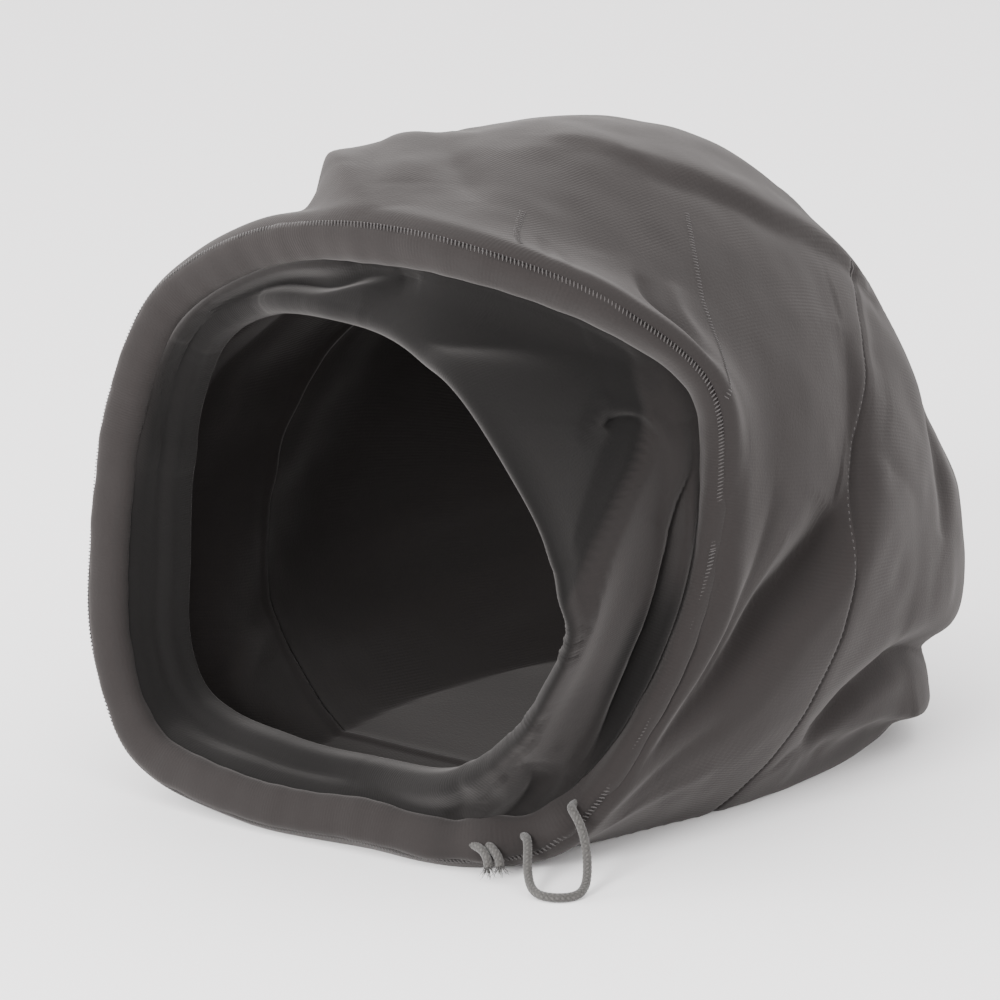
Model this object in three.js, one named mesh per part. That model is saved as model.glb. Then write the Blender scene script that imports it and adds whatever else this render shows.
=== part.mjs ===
// Motorcycle helmet bag: a soft drawstring sack of brushed knit cloth, standing
// filled out with its mouth open.
// Millimetres, +Z up, the mouth faces -Y, X runs across, the floor is z = 0.
import * as THREE from 'three';
import { mergeVertices } from 'three/addons/utils/BufferGeometryUtils.js';

const radians = THREE.MathUtils.degToRad;
const mix = THREE.MathUtils.lerp;

// Driving dimensions of the filled bag
const BAG_WIDTH = 280;
const BAG_DEPTH = 347;
const BAG_HEIGHT = 272;
const MOUTH_WIDTH = 244;
const MOUTH_RISE = 236;
const MOUTH_LEAN = 94;
const OPENING_WIDTH = 212;
const OPENING_RISE = 200;

// Cloth, hem and cord
const CLOTH = 1.6;
const HEM_WIDTH = 17;
const HEM_THICKNESS = 9.6;
const HEM_WALL = 1.5;
const HEM_TILT = 25;
const FACING_ROLL = 13;
const CORD = 3.6;
const CORD_BEND = 8;
const FOLD_DEPTH = 10;
const FOLD_WIDTH = 22;
const GAP = 0.3;

// Places that follow from the sizes
const HALF_WIDTH = BAG_WIDTH / 2;
const FRONT = -0.346 * BAG_DEPTH;
const HEM_REACH = (HEM_WIDTH * Math.cos(radians(HEM_TILT)) + HEM_THICKNESS * Math.sin(radians(HEM_TILT))) / 2;
const MOUTH_SEAT = CLOTH + GAP + HEM_REACH;
const CORD_REST = CORD / 2 + GAP / 3;

// Small steps by which a surface is felt out for its direction
const FEEL_ALONG = 0.015;
const FEEL_TURN = 2.5;
const FOLD_SAMPLES = 24;

// Columns round the mouth: wide steps, and narrow ones by the cord's slits
const WIDE_STEP = 6;
const NARROW_STEP = 2.4;
const NARROW_FROM = 294;
const NARROW_TO = 318;
const PANEL_ROWS = 13;
const REAR_ROWS = 8;
const FACING_ROWS = 7;
const HEM_SIDES = 10;
const CORD_SIDES = 8;
const RUN_STEP = 14;

// Slits in the hem's front: where the cord's two ends come out, and where the
// loop leaves and comes back
const ENDS_SLIT = { from: 296.4, to: 303.6 };
const FIRST_END = 300.6;
const SECOND_END = 301.9;
const LOOP_LEAVES = 304.7;
const RUN_FROM = 317.8;
const LEAVING_SLIT = { from: 306.0, to: 308.4 };
const RETURN_SLIT = { from: 310.8, to: 318.0 };

// Mouth ring, seen from the front and listed counter-clockwise from the near side.
// across: share of MOUTH_WIDTH, up: share of MOUTH_RISE above the seat,
// back: share of MOUTH_LEAN behind the front edge
const MOUTH = [
  { turn: 17, across: 0.520, up: 0.655, back: 1.085 },
  { turn: 30, across: 0.512, up: 0.780, back: 1.000 },
  { turn: 43, across: 0.422, up: 0.890, back: 0.723 },
  { turn: 60, across: 0.266, up: 0.960, back: 0.447 },
  { turn: 83, across: 0.057, up: 0.980, back: 0.319 },
  { turn: 112, across: -0.180, up: 0.935, back: 0.266 },
  { turn: 138, across: -0.365, up: 0.812, back: 0.202 },
  { turn: 162, across: -0.439, up: 0.633, back: 0.138 },
  { turn: 188, across: -0.471, up: 0.417, back: 0.106 },
  { turn: 210, across: -0.467, up: 0.205, back: 0.085 },
  { turn: 228, across: -0.389, up: 0.050, back: 0.074 },
  { turn: 251, across: -0.164, up: 0.000, back: 0.085 },
  { turn: 278, across: 0.070, up: 0.003, back: 0.191 },
  { turn: 300, across: 0.266, up: 0.002, back: 0.319 },
  { turn: 310, across: 0.369, up: 0.030, back: 0.511 },
  { turn: 334, across: 0.467, up: 0.250, back: 0.894 },
];

// Lip of the facing, where the cloth meets the opening.
// across: share of OPENING_WIDTH, up: share of OPENING_RISE above the seat,
// back: share of MOUTH_LEAN behind the front edge, recess: share of FOLD_DEPTH
// that the facing bellies back between the hem and the lip
const LIP = [
  { turn: 17, across: 0.519, up: 0.634, back: 0.310, recess: 1.4 },
  { turn: 30, across: 0.452, up: 0.780, back: 0.235, recess: 1.4 },
  { turn: 43, across: 0.342, up: 0.905, back: 0.225, recess: 1.0 },
  { turn: 60, across: 0.202, up: 0.985, back: 0.250, recess: 0.6 },
  { turn: 83, across: 0.029, up: 1.015, back: 0.290, recess: 0.4 },
  { turn: 112, across: -0.215, up: 1.000, back: 0.290, recess: 0.3 },
  { turn: 138, across: -0.400, up: 0.890, back: 0.290, recess: 0.2 },
  { turn: 162, across: -0.470, up: 0.680, back: 0.270, recess: 0.2 },
  { turn: 188, across: -0.488, up: 0.440, back: 0.260, recess: 0.2 },
  { turn: 210, across: -0.480, up: 0.215, back: 0.240, recess: 0.2 },
  { turn: 228, across: -0.395, up: 0.100, back: 0.240, recess: 0.1 },
  { turn: 251, across: -0.165, up: 0.060, back: 0.240, recess: 0.1 },
  { turn: 278, across: 0.058, up: 0.065, back: 0.280, recess: 0.1 },
  { turn: 300, across: 0.280, up: 0.110, back: 0.230, recess: 0.2 },
  { turn: 310, across: 0.385, up: 0.180, back: 0.240, recess: 0.4 },
  { turn: 334, across: 0.491, up: 0.350, back: 0.240, recess: 1.0 },
];

// Cross-sections of the body, front to back.
// back: share of BAG_DEPTH behind the origin, near and far: shares of HALF_WIDTH,
// top, waist and sink: shares of BAG_HEIGHT (waist is the height of the widest line,
// sink is how far the round would reach below the floor), crown and base:
// squareness above and below the waist
const SECTIONS = [
  { back: -0.346, near: 0.94, far: 0.88, top: 0.93, waist: 0.42, sink: 0.05, crown: 2.0, base: 2.1 },
  { back: -0.26, near: 0.95, far: 0.90, top: 0.95, waist: 0.42, sink: 0.06, crown: 2.0, base: 2.1 },
  { back: -0.20, near: 0.96, far: 0.92, top: 0.97, waist: 0.42, sink: 0.07, crown: 2.0, base: 2.1 },
  { back: -0.12, near: 0.97, far: 0.94, top: 0.98, waist: 0.41, sink: 0.09, crown: 2.0, base: 2.1 },
  { back: -0.03, near: 0.98, far: 0.97, top: 0.99, waist: 0.40, sink: 0.12, crown: 2.0, base: 2.0 },
  { back: 0.10, near: 0.99, far: 0.99, top: 1.00, waist: 0.39, sink: 0.15, crown: 2.0, base: 2.0 },
  { back: 0.24, near: 0.97, far: 0.97, top: 0.98, waist: 0.37, sink: 0.16, crown: 1.9, base: 2.0 },
  { back: 0.37, near: 0.90, far: 0.90, top: 0.92, waist: 0.34, sink: 0.15, crown: 1.8, base: 2.0 },
  { back: 0.48, near: 0.80, far: 0.79, top: 0.80, waist: 0.30, sink: 0.11, crown: 1.8, base: 2.0 },
  { back: 0.57, near: 0.62, far: 0.60, top: 0.64, waist: 0.28, sink: 0.04, crown: 1.8, base: 2.0 },
  { back: 0.63, near: 0.36, far: 0.34, top: 0.46, waist: 0.27, sink: -0.08, crown: 1.9, base: 2.0 },
  { back: 0.648, near: 0.19, far: 0.18, top: 0.37, waist: 0.27, sink: -0.17, crown: 2.0, base: 2.0 },
  { back: 0.654, near: 0.00, far: 0.00, top: 0.27, waist: 0.27, sink: -0.27, crown: 2.0, base: 2.0 },
];

// Way of the cloth from the hem to the back.
// along: place on the cloth, depth: share of the way back, ring: share of the
// mouth's own outline that is kept, puff: share of HEM_THICKNESS that it bulges out
const WAY_BACK = [
  { along: 0.00, depth: 0.000, ring: 1.00, puff: 0.00 },
  { along: 0.05, depth: 0.022, ring: 0.92, puff: 0.42 },
  { along: 0.10, depth: 0.062, ring: 0.66, puff: 0.40 },
  { along: 0.18, depth: 0.150, ring: 0.24, puff: 0.15 },
  { along: 0.28, depth: 0.270, ring: 0.03, puff: 0.00 },
  { along: 0.40, depth: 0.415, ring: 0.00, puff: 0.00 },
  { along: 0.55, depth: 0.590, ring: 0.00, puff: 0.00 },
  { along: 0.70, depth: 0.750, ring: 0.00, puff: 0.00 },
  { along: 0.82, depth: 0.870, ring: 0.00, puff: 0.00 },
  { along: 0.92, depth: 0.955, ring: 0.00, puff: 0.00 },
  { along: 1.00, depth: 1.000, ring: 0.00, puff: 0.00 },
];

// Rear seam of the front panel, as a share of the way at each turn
const SEAM = [
  { turn: 3, along: 0.32 },
  { turn: 18, along: 0.38 },
  { turn: 32, along: 0.48 },
  { turn: 50, along: 0.62 },
  { turn: 90, along: 0.68 },
  { turn: 130, along: 0.62 },
  { turn: 162, along: 0.38 },
  { turn: 184, along: 0.31 },
  { turn: 240, along: 0.33 },
  { turn: 300, along: 0.33 },
  { turn: 346, along: 0.30 },
];

// Folds and ridges of the body, each along a path of [along, turn] points.
// depth: share of FOLD_DEPTH, below zero for a valley, width: share of FOLD_WIDTH
const FOLDS = [
  { name: 'peak_ridge', depth: 1.3, width: 0.8, path: [[0.16, 110], [0.21, 110], [0.27, 107], [0.33, 103]] },
  { name: 'peak_crease', depth: -0.8, width: 0.6, path: [[0.05, 78], [0.14, 92], [0.22, 100]] },
  { name: 'far_shoulder', depth: -1.8, width: 1.9, path: [[0.08, 134], [0.24, 138], [0.42, 140]] },
  { name: 'top_ridge', depth: 0.4, width: 0.8, path: [[0.36, 76], [0.42, 66], [0.56, 51], [0.66, 48]] },
  { name: 'band_valley', depth: -0.7, width: 0.6, path: [[0.16, 28], [0.14, 2], [0.11, -18], [0.06, -30]] },
  { name: 'near_valley', depth: -1.3, width: 1.0, path: [[0.47, 30], [0.32, 8], [0.22, -4], [0.06, -36]] },
  { name: 'near_ridge', depth: 0.8, width: 0.9, path: [[0.38, 16], [0.32, 2], [0.27, -14], [0.21, -33]] },
  { name: 'rear_tuck', depth: -1.2, width: 0.7, path: [[0.6, -10], [0.44, -16], [0.38, -29]] },
  { name: 'rear_dent', depth: -1.0, width: 1.0, path: [[0.4, -38], [0.52, -36], [0.64, -34]] },
  { name: 'far_valley', depth: -0.9, width: 1.0, path: [[0.46, 150], [0.34, 178], [0.22, 198], [0.1, 214]] },
  { name: 'rear_fold', depth: -0.8, width: 0.9, path: [[0.68, 75], [0.82, 62], [0.9, 20]] },
];

// Belly of the facing between the hem and the lip: its place on the way, and where it sags to
const BELLY = { share: 0.3, inward: 0.8, back: 0.3 };

// Roll of the facing behind the lip, as shares of FACING_ROLL
const ROLL = [
  { back: 0.3, inward: 0.4 },
  { back: 1.0, inward: 0.45 },
];

// Squareness of the hem's section, 1 for an oval
const HEM_SQUARENESS = 0.8;

// Way of the cord out of the hem, as shares of CORD_BEND from the slit's middle.
// travel: along the hem, rise: out through its front, drop: towards its outer edge
const CORD_EXIT = [
  { travel: -1.00, rise: 0.00, drop: 0.00 },
  { travel: -0.66, rise: 0.06, drop: 0.06 },
  { travel: -0.34, rise: 0.24, drop: 0.25 },
  { travel: -0.10, rise: 0.52, drop: 0.38 },
  { travel: 0.00, rise: 0.82, drop: 0.72 },
  { travel: 0.00, rise: 0.96, drop: 1.15 },
  { travel: 0.00, rise: 1.00, drop: 1.60 },
];

// Guide points of the free loop: across, back and up, in millimetres from the straight
// line that joins the two places where it leaves and comes back to the middle of the hem
const LOOP_ROUTE = [
  [0, 0, 0], [1.9, 0.6, -0.3], [3.9, 0.1, -0.4], [6.0, -1.9, -0.2],
  [8.0, -5.2, -1.2], [9.9, -9.4, -4.7], [11.4, -13.5, -9.2], [13.4, -17.7, -13.5],
  [16.6, -21.9, -17.3], [20.9, -25.1, -19.4], [25.7, -25.1, -20.2], [29.5, -21.9, -21.1],
  [30.0, -16.8, -21.9], [27.0, -12.0, -20.6], [23.2, -9.2, -17.0], [20.2, -8.4, -12.5],
  [17.5, -8.9, -7.4], [14.1, -9.9, -2.9], [9.7, -10.4, -0.5], [5.2, -9.4, -0.4],
  [1.8, -7.2, -1.6], [0.3, -4.6, -2.4], [-0.4, -2.1, -1.8], [0, 0, 0],
];

const MATERIALS = {
  cloth: new THREE.MeshStandardMaterial({ color: 0x55504f, roughness: 0.95, metalness: 0 }),
  hem: new THREE.MeshStandardMaterial({ color: 0x4c4847, roughness: 0.95, metalness: 0 }),
  facing: new THREE.MeshStandardMaterial({ color: 0x3f3c3a, roughness: 0.97, metalness: 0 }),
  cord: new THREE.MeshStandardMaterial({ color: 0x77746f, roughness: 0.8, metalness: 0 }),
};

// A smooth reading of a table, as a function of one of its columns
function smoothTable(rows, key) {
  const names = Object.keys(rows[0]).filter((name) => name !== key);
  const values = rows.flatMap((row) => names.map((name) => row[name]));
  const curve = new THREE.CubicInterpolant(rows.map((row) => row[key]), values, names.length);
  return (at) => {
    const read = curve.evaluate(at);
    return Object.fromEntries(names.map((name, index) => [name, read[index]]));
  };
}

// A table round the mouth, with its first and last rows repeated past a full turn
function roundTable(rows) {
  const before = rows.slice(-3).map((row) => ({ ...row, turn: row.turn - 360 }));
  const after = rows.slice(0, 3).map((row) => ({ ...row, turn: row.turn + 360 }));
  const read = smoothTable([...before, ...rows, ...after], 'turn');
  return (turn) => read(THREE.MathUtils.euclideanModulo(turn, 360));
}

const readMouth = roundTable(MOUTH);
const readLip = roundTable(LIP);
const readSection = smoothTable(SECTIONS, 'back');
const readWay = smoothTable(WAY_BACK, 'along');
const readSeam = roundTable(SEAM);
const seamLine = (turn) => readSeam(turn).along;

// Middle of the hem at a turn
function ringPoint(turn) {
  const row = readMouth(turn);
  return new THREE.Vector3(
    row.across * MOUTH_WIDTH,
    FRONT + row.back * MOUTH_LEAN,
    MOUTH_SEAT + row.up * MOUTH_RISE,
  );
}

// Directions at a turn of the hem: along it, across its width towards the opening,
// and through its thickness towards the front
function ringFrame(turn) {
  const centre = ringPoint(turn);
  const along = ringPoint(turn + 0.5).sub(ringPoint(turn - 0.5));
  const pace = along.length();
  along.normalize();
  const front = new THREE.Vector3(0, -1, 0);
  front.addScaledVector(along, -front.dot(along)).normalize();
  const inward = new THREE.Vector3().crossVectors(front, along).normalize();
  const tilt = radians(HEM_TILT);
  const width = inward.clone().multiplyScalar(Math.cos(tilt)).addScaledVector(front, -Math.sin(tilt));
  const thick = front.clone().multiplyScalar(Math.cos(tilt)).addScaledVector(inward, Math.sin(tilt));
  return { centre, along, pace, inward, width, thick };
}

// Turns of the columns, once round from the end of the narrow steps
function columnTurns() {
  const turns = [];
  for (let turn = NARROW_TO; turn < NARROW_FROM + 360 - 0.01; turn += WIDE_STEP) turns.push(turn);
  for (let turn = NARROW_FROM; turn < NARROW_TO - 0.01; turn += NARROW_STEP) turns.push(turn + 360);
  return turns;
}
const TURNS = columnTurns();

const signedPower = (value, power) => Math.sign(value) * Math.abs(value) ** power;

// Outside of the body before its folds; the base lies flat on the floor
function plainPoint(along, turn) {
  const way = readWay(along);
  const { centre, inward, width } = ringFrame(turn);
  const edge = centre.addScaledVector(width, -(HEM_WIDTH / 2 + GAP));
  const y = mix(edge.y, FRONT + BAG_DEPTH, way.depth);
  edge.addScaledVector(inward, -way.puff * HEM_THICKNESS);
  const row = readSection(y / BAG_DEPTH);
  const angle = radians(turn);
  const power = Math.sin(angle) > 0 ? row.crown : row.base;
  const across = signedPower(Math.cos(angle), 2 / power);
  const rise = signedPower(Math.sin(angle), 2 / power);
  const half = across > 0 ? row.near : row.far;
  const height = rise > 0 ? row.top - row.waist : row.waist + row.sink;
  const z = (row.waist + height * rise) * BAG_HEIGHT;
  return new THREE.Vector3(
    mix(half * HALF_WIDTH * across, edge.x, way.ring),
    y,
    Math.max(0, mix(z, edge.z, way.ring)),
  );
}

// Outward normal at a place on a surface that is given by a point function
function surfaceNormal(point, along, turn) {
  if (along > 0.999) return new THREE.Vector3(0, 1, 0);
  const step = Math.min(FEEL_ALONG, 1 - along, Math.max(along, FEEL_ALONG / 8));
  const down = point(along + step, turn).sub(point(along - step, turn));
  const round = point(along, turn + FEEL_TURN).sub(point(along, turn - FEEL_TURN));
  return down.cross(round).normalize();
}

// Unit normals of a grid of points, closed round its columns
function gridNormals(grid) {
  const last = grid.length - 1;
  return grid.map((row, r) => row.map((_, c) => {
    const before = row[(c + row.length - 1) % row.length];
    const after = row[(c + 1) % row.length];
    const down = grid[Math.min(r + 1, last)][c].clone().sub(grid[Math.max(r - 1, 0)][c]);
    return down.cross(after.clone().sub(before)).normalize();
  }));
}

// Closed mesh between two walls of matching points, with rims round its open edges
// and round the cells that are left open
function clothShell(front, rear, { closedRows = false, isOpen = () => false } = {}) {
  const rows = front.length;
  const columns = front[0].length;
  const cellRows = closedRows ? rows : rows - 1;
  const at = (r, c) => (r % rows) * columns + (c % columns);
  const shift = rows * columns;
  const positions = [...front.flat(), ...rear.flat()].flatMap((point) => point.toArray());
  const index = [];
  const quad = (a, b, c, d) => index.push(a, b, c, a, c, d);
  const filled = (r, c) => {
    const row = closedRows ? (r + rows) % rows : r;
    return row >= 0 && row < cellRows && !isOpen(row, (c + columns) % columns);
  };
  const rim = (a, b) => quad(b, a, a + shift, b + shift);
  for (let r = 0; r < cellRows; r += 1) {
    for (let c = 0; c < columns; c += 1) {
      if (!filled(r, c)) continue;
      const [a, b, d, e] = [at(r, c), at(r, c + 1), at(r + 1, c + 1), at(r + 1, c)];
      quad(a, b, d, e);
      quad(shift + a, shift + e, shift + d, shift + b);
      if (!filled(r - 1, c)) rim(a, b);
      if (!filled(r + 1, c)) rim(d, e);
      if (!filled(r, c - 1)) rim(e, a);
      if (!filled(r, c + 1)) rim(b, d);
    }
  }
  return closedMesh(positions, index);
}

// Joins shared corners, drops empty triangles and turns every face outwards
function closedMesh(positions, index) {
  const loose = new THREE.BufferGeometry();
  loose.setAttribute('position', new THREE.Float32BufferAttribute(positions, 3));
  loose.setIndex(index);
  const geometry = mergeVertices(loose, 1e-4);
  const corners = Array.from(geometry.index.array);
  const kept = [];
  let volume = 0;
  const [p, q, s] = [new THREE.Vector3(), new THREE.Vector3(), new THREE.Vector3()];
  for (let i = 0; i < corners.length; i += 3) {
    const [a, b, c] = corners.slice(i, i + 3);
    if (a === b || b === c || c === a) continue;
    kept.push([a, b, c]);
    p.fromBufferAttribute(geometry.attributes.position, a);
    q.fromBufferAttribute(geometry.attributes.position, b);
    s.fromBufferAttribute(geometry.attributes.position, c);
    volume += p.dot(q.cross(s));
  }
  geometry.setIndex((volume > 0 ? kept : kept.map(([a, b, c]) => [a, c, b])).flat());
  geometry.computeVertexNormals();
  return geometry;
}

// Even steps from one share to another
const shares = (from, to, count) => (
  Array.from({ length: count + 1 }, (_, r) => mix(from, to, r / count))
);

// Sample points of each fold, on the body before folding
const foldSamples = FOLDS.map((fold) => {
  const corners = fold.path.map(([along, turn]) => plainPoint(along, turn));
  return { ...fold, samples: new THREE.CatmullRomCurve3(corners).getPoints(FOLD_SAMPLES) };
});

// How far a point of the body is pushed out by the folds
function foldPush(point) {
  return foldSamples.reduce((sum, { samples, depth, width }) => {
    const weights = samples.map((sample, i) => {
      const taper = Math.sin((Math.PI * (i + 1)) / (samples.length + 1)) ** 0.5;
      return taper * Math.exp(-((sample.distanceTo(point) / (width * FOLD_WIDTH)) ** 2));
    });
    return sum + depth * FOLD_DEPTH * Math.max(...weights);
  }, 0);
}

// Outside of the body with its folds
function clothPoint(along, turn) {
  const point = plainPoint(along, turn);
  const free = THREE.MathUtils.smoothstep(point.z, 0, FOLD_WIDTH) * (1 - readWay(along).ring);
  const push = free * foldPush(point);
  point.addScaledVector(surfaceNormal(plainPoint, along, turn), push);
  point.z = Math.max(0, point.z);
  return point;
}

// Both walls of the body in rows between two lines round it
function bodyWalls(fromLine, toLine, count) {
  const places = shares(0, 1, count).map((share) => TURNS.map((turn) => (
    [mix(fromLine(turn), toLine(turn), share), turn]
  )));
  const outer = places.map((row) => row.map(([along, turn]) => clothPoint(along, turn)));
  const inner = places.map((row, r) => row.map(([along, turn], c) => (
    outer[r][c].clone().addScaledVector(surfaceNormal(clothPoint, along, turn), -CLOTH)
  )));
  return { outer, inner };
}

// Second wall of a cloth, one thickness behind the first
function backedBy(wall) {
  const normals = gridNormals(wall);
  return wall.map((row, r) => row.map((point, c) => (
    point.clone().addScaledVector(normals[r][c], -CLOTH)
  )));
}

// First row of a cloth that is sewn to the hem, square to the hem's width
function sewnEdge(outer, inner, side) {
  TURNS.forEach((turn, c) => {
    const { centre, width, thick } = ringFrame(turn);
    const edge = centre.addScaledVector(width, side * (HEM_WIDTH / 2 + GAP));
    outer[0][c] = edge.clone().addScaledVector(thick, CLOTH / 2);
    inner[0][c] = edge.clone().addScaledVector(thick, -CLOTH / 2);
  });
}

function frontPanel() {
  const { outer, inner } = bodyWalls(() => 0, seamLine, PANEL_ROWS);
  sewnEdge(outer, inner, -1);
  return clothShell(outer, inner);
}

function rearPanel() {
  const clear = (2 * GAP) / BAG_DEPTH;
  const { outer, inner } = bodyWalls((turn) => seamLine(turn) + clear, () => 1, REAR_ROWS);
  return clothShell(outer, inner);
}

// Path of the facing at a turn: from the hem to the lip and rolled back inside
function facingPath(turn) {
  const { centre, inward, width } = ringFrame(turn);
  const row = readLip(turn);
  const edge = centre.addScaledVector(width, HEM_WIDTH / 2 + GAP);
  const lip = new THREE.Vector3(
    row.across * OPENING_WIDTH,
    FRONT + row.back * MOUTH_LEAN,
    MOUTH_SEAT + row.up * OPENING_RISE,
  );
  const back = new THREE.Vector3(0, 1, 0);
  const sag = row.recess * FOLD_DEPTH;
  const belly = edge.clone().lerp(lip, BELLY.share)
    .addScaledVector(inward, BELLY.inward * sag)
    .addScaledVector(back, BELLY.back * sag);
  const roll = ROLL.map((share) => lip.clone()
    .addScaledVector(back, share.back * FACING_ROLL)
    .addScaledVector(inward, share.inward * FACING_ROLL));
  return new THREE.CatmullRomCurve3([edge, belly, lip, ...roll], false, 'centripetal');
}

function mouthFacing() {
  const paths = TURNS.map(facingPath);
  const outer = shares(0, 1, FACING_ROWS).map((share) => paths.map((path) => path.getPoint(share)));
  const inner = backedBy(outer);
  sewnEdge(outer, inner, 1);
  return clothShell(outer, inner);
}

// Wall of the hem, shrunk by a margin all round
function hemWall(margin) {
  return Array.from({ length: HEM_SIDES }, (_, side) => TURNS.map((turn) => {
    const angle = ((side + 0.5) / HEM_SIDES) * 2 * Math.PI;
    const { centre, width, thick } = ringFrame(turn);
    return centre
      .addScaledVector(width, (HEM_WIDTH / 2 - margin) * signedPower(Math.cos(angle), HEM_SQUARENESS))
      .addScaledVector(thick, (HEM_THICKNESS / 2 - margin) * signedPower(Math.sin(angle), HEM_SQUARENESS));
  }));
}

function drawstringHem() {
  const frontCell = Math.round(HEM_SIDES / 4 - 0.5);
  const slits = [ENDS_SLIT, LEAVING_SLIT, RETURN_SLIT];
  const isOpen = (side, c) => {
    const turn = TURNS[c] + NARROW_STEP / 2 - 360;
    return side === frontCell && slits.some((slit) => turn > slit.from && turn < slit.to);
  };
  return clothShell(hemWall(0), hemWall(HEM_WALL), { closedRows: true, isOpen });
}

// Middle line of the cord from inside the hem out through a slit at a turn; side is
// the way it travels, +1 with the columns and -1 against them
function bendOut(turn, side) {
  const { along, pace } = ringFrame(turn);
  return CORD_EXIT.map((row) => {
    const { centre, width, thick } = ringFrame(turn + (side * Math.min(row.travel, 0) * CORD_BEND) / pace);
    return centre
      .addScaledVector(along, Math.max(row.travel, 0) * CORD_BEND)
      .addScaledVector(thick, row.rise * CORD_BEND)
      .addScaledVector(width, -row.drop * CORD_BEND);
  });
}

// Points of a cubic spline that runs along its guide points and starts and ends on them
function splinePoints(guides, each) {
  const before = guides[0].clone().multiplyScalar(2).sub(guides[1]);
  const after = guides.at(-1).clone().multiplyScalar(2).sub(guides.at(-2));
  const all = [before, ...guides, after];
  const points = [];
  for (let i = 0; i + 3 < all.length; i += 1) {
    for (let k = 0; k < each; k += 1) {
      const t = k / each;
      const weights = [(1 - t) ** 3, 3 * t ** 3 - 6 * t ** 2 + 4, -3 * t ** 3 + 3 * t ** 2 + 3 * t + 1, t ** 3];
      const point = new THREE.Vector3();
      weights.forEach((weight, j) => point.addScaledVector(all[i + j], weight / 6));
      points.push(point);
    }
  }
  return [...points, guides.at(-1).clone()];
}

// Round cord along a middle line
function cordTube(points, step) {
  const curve = new THREE.CatmullRomCurve3(points, false, 'centripetal');
  const section = new THREE.Shape(Array.from({ length: CORD_SIDES }, (_, side) => {
    const angle = (side / CORD_SIDES) * 2 * Math.PI;
    return new THREE.Vector2(Math.cos(angle), Math.sin(angle)).multiplyScalar(CORD / 2);
  }));
  const steps = Math.round(curve.getLength() / step);
  const tube = new THREE.ExtrudeGeometry(section, { steps, bevelEnabled: false, extrudePath: curve });
  const positions = Array.from(tube.attributes.position.array);
  return closedMesh(positions, positions.slice(0, positions.length / 3).map((_, corner) => corner));
}

// Cord held in the hem, from the return slit the long way round to the ends' slit
function channelRun() {
  const from = RUN_FROM + (3 * GAP) / ringFrame(RUN_FROM).pace;
  const to = FIRST_END + 360 - (CORD_BEND + 2 * GAP) / ringFrame(FIRST_END).pace;
  const held = TURNS.filter((turn) => turn > from + NARROW_STEP && turn < to - NARROW_STEP);
  return cordTube([from, ...held, to].map(ringPoint), RUN_STEP);
}

// Free loop between the two slits, laid on the floor where it reaches it
function looseLoop() {
  const guides = LOOP_ROUTE.map(([across, back, up], place) => {
    const guide = ringPoint(LOOP_LEAVES).lerp(ringPoint(RUN_FROM), place / (LOOP_ROUTE.length - 1));
    guide.add(new THREE.Vector3(across, back, up));
    guide.z = Math.max(CORD_REST, guide.z);
    return guide;
  });
  return cordTube(splinePoints(guides, 2), 2 * CORD);
}

// The pieces, centred over the origin by the bag's own box
const bag = new THREE.Group();
function addPiece(name, geometry, material) {
  const piece = new THREE.Mesh(geometry, material);
  piece.name = name;
  bag.add(piece);
}

addPiece('front_panel', frontPanel(), MATERIALS.cloth);
addPiece('rear_panel', rearPanel(), MATERIALS.cloth);
addPiece('drawstring_hem', drawstringHem(), MATERIALS.hem);
addPiece('mouth_facing', mouthFacing(), MATERIALS.facing);
const middle = new THREE.Box3().setFromObject(bag).getCenter(new THREE.Vector3());
addPiece('drawstring_run', channelRun(), MATERIALS.cord);
addPiece('first_cord_end', cordTube(bendOut(FIRST_END, 1), CORD), MATERIALS.cord);
addPiece('second_cord_end', cordTube(bendOut(SECOND_END, -1), CORD), MATERIALS.cord);
addPiece('drawstring_loop', looseLoop(), MATERIALS.cord);
bag.position.set(-middle.x, -middle.y, 0);

const model = new THREE.Group();
model.add(bag);

export default model;
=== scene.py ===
"""Motorcycle helmet bag: a soft drawstring sack of brushed knit cloth, filled out and open.

Metres, +Z up. The mouth faces -Y and leans back towards +X, and the floor is z = 0. A place
on the cloth is given as [along, turn]: along runs from the hem, 0, to the closed end, 1, and
turn goes round the mouth in degrees, from +X over the top.
"""

import math
import random

import bmesh
import bpy
import numpy as np
from bpy.props import FloatProperty, FloatVectorProperty, IntProperty, PointerProperty
from mathutils import Matrix, Vector, noise


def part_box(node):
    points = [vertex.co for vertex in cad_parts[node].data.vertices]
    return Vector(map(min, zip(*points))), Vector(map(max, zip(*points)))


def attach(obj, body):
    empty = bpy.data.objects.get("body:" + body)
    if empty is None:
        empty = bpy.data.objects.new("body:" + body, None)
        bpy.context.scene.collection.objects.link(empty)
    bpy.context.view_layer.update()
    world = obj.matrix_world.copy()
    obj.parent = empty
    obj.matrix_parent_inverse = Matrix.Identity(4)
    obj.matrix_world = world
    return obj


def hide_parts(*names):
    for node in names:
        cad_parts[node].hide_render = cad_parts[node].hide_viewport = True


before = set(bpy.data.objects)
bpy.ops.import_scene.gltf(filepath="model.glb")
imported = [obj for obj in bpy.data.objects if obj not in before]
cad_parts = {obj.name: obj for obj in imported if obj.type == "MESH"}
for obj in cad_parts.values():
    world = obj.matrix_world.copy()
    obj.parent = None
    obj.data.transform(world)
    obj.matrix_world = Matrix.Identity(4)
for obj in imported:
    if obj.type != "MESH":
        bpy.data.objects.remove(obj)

bl_info = {
    "name": "Motorcycle helmet bag",
    "version": (1, 0, 0),
    "blender": (4, 5, 0),
    "location": "View3D > Sidebar > Helmet Bag",
    "description": "Builds a drawstring helmet bag of brushed knit cloth",
    "category": "Add Mesh",
}

BODY = "root"

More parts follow.
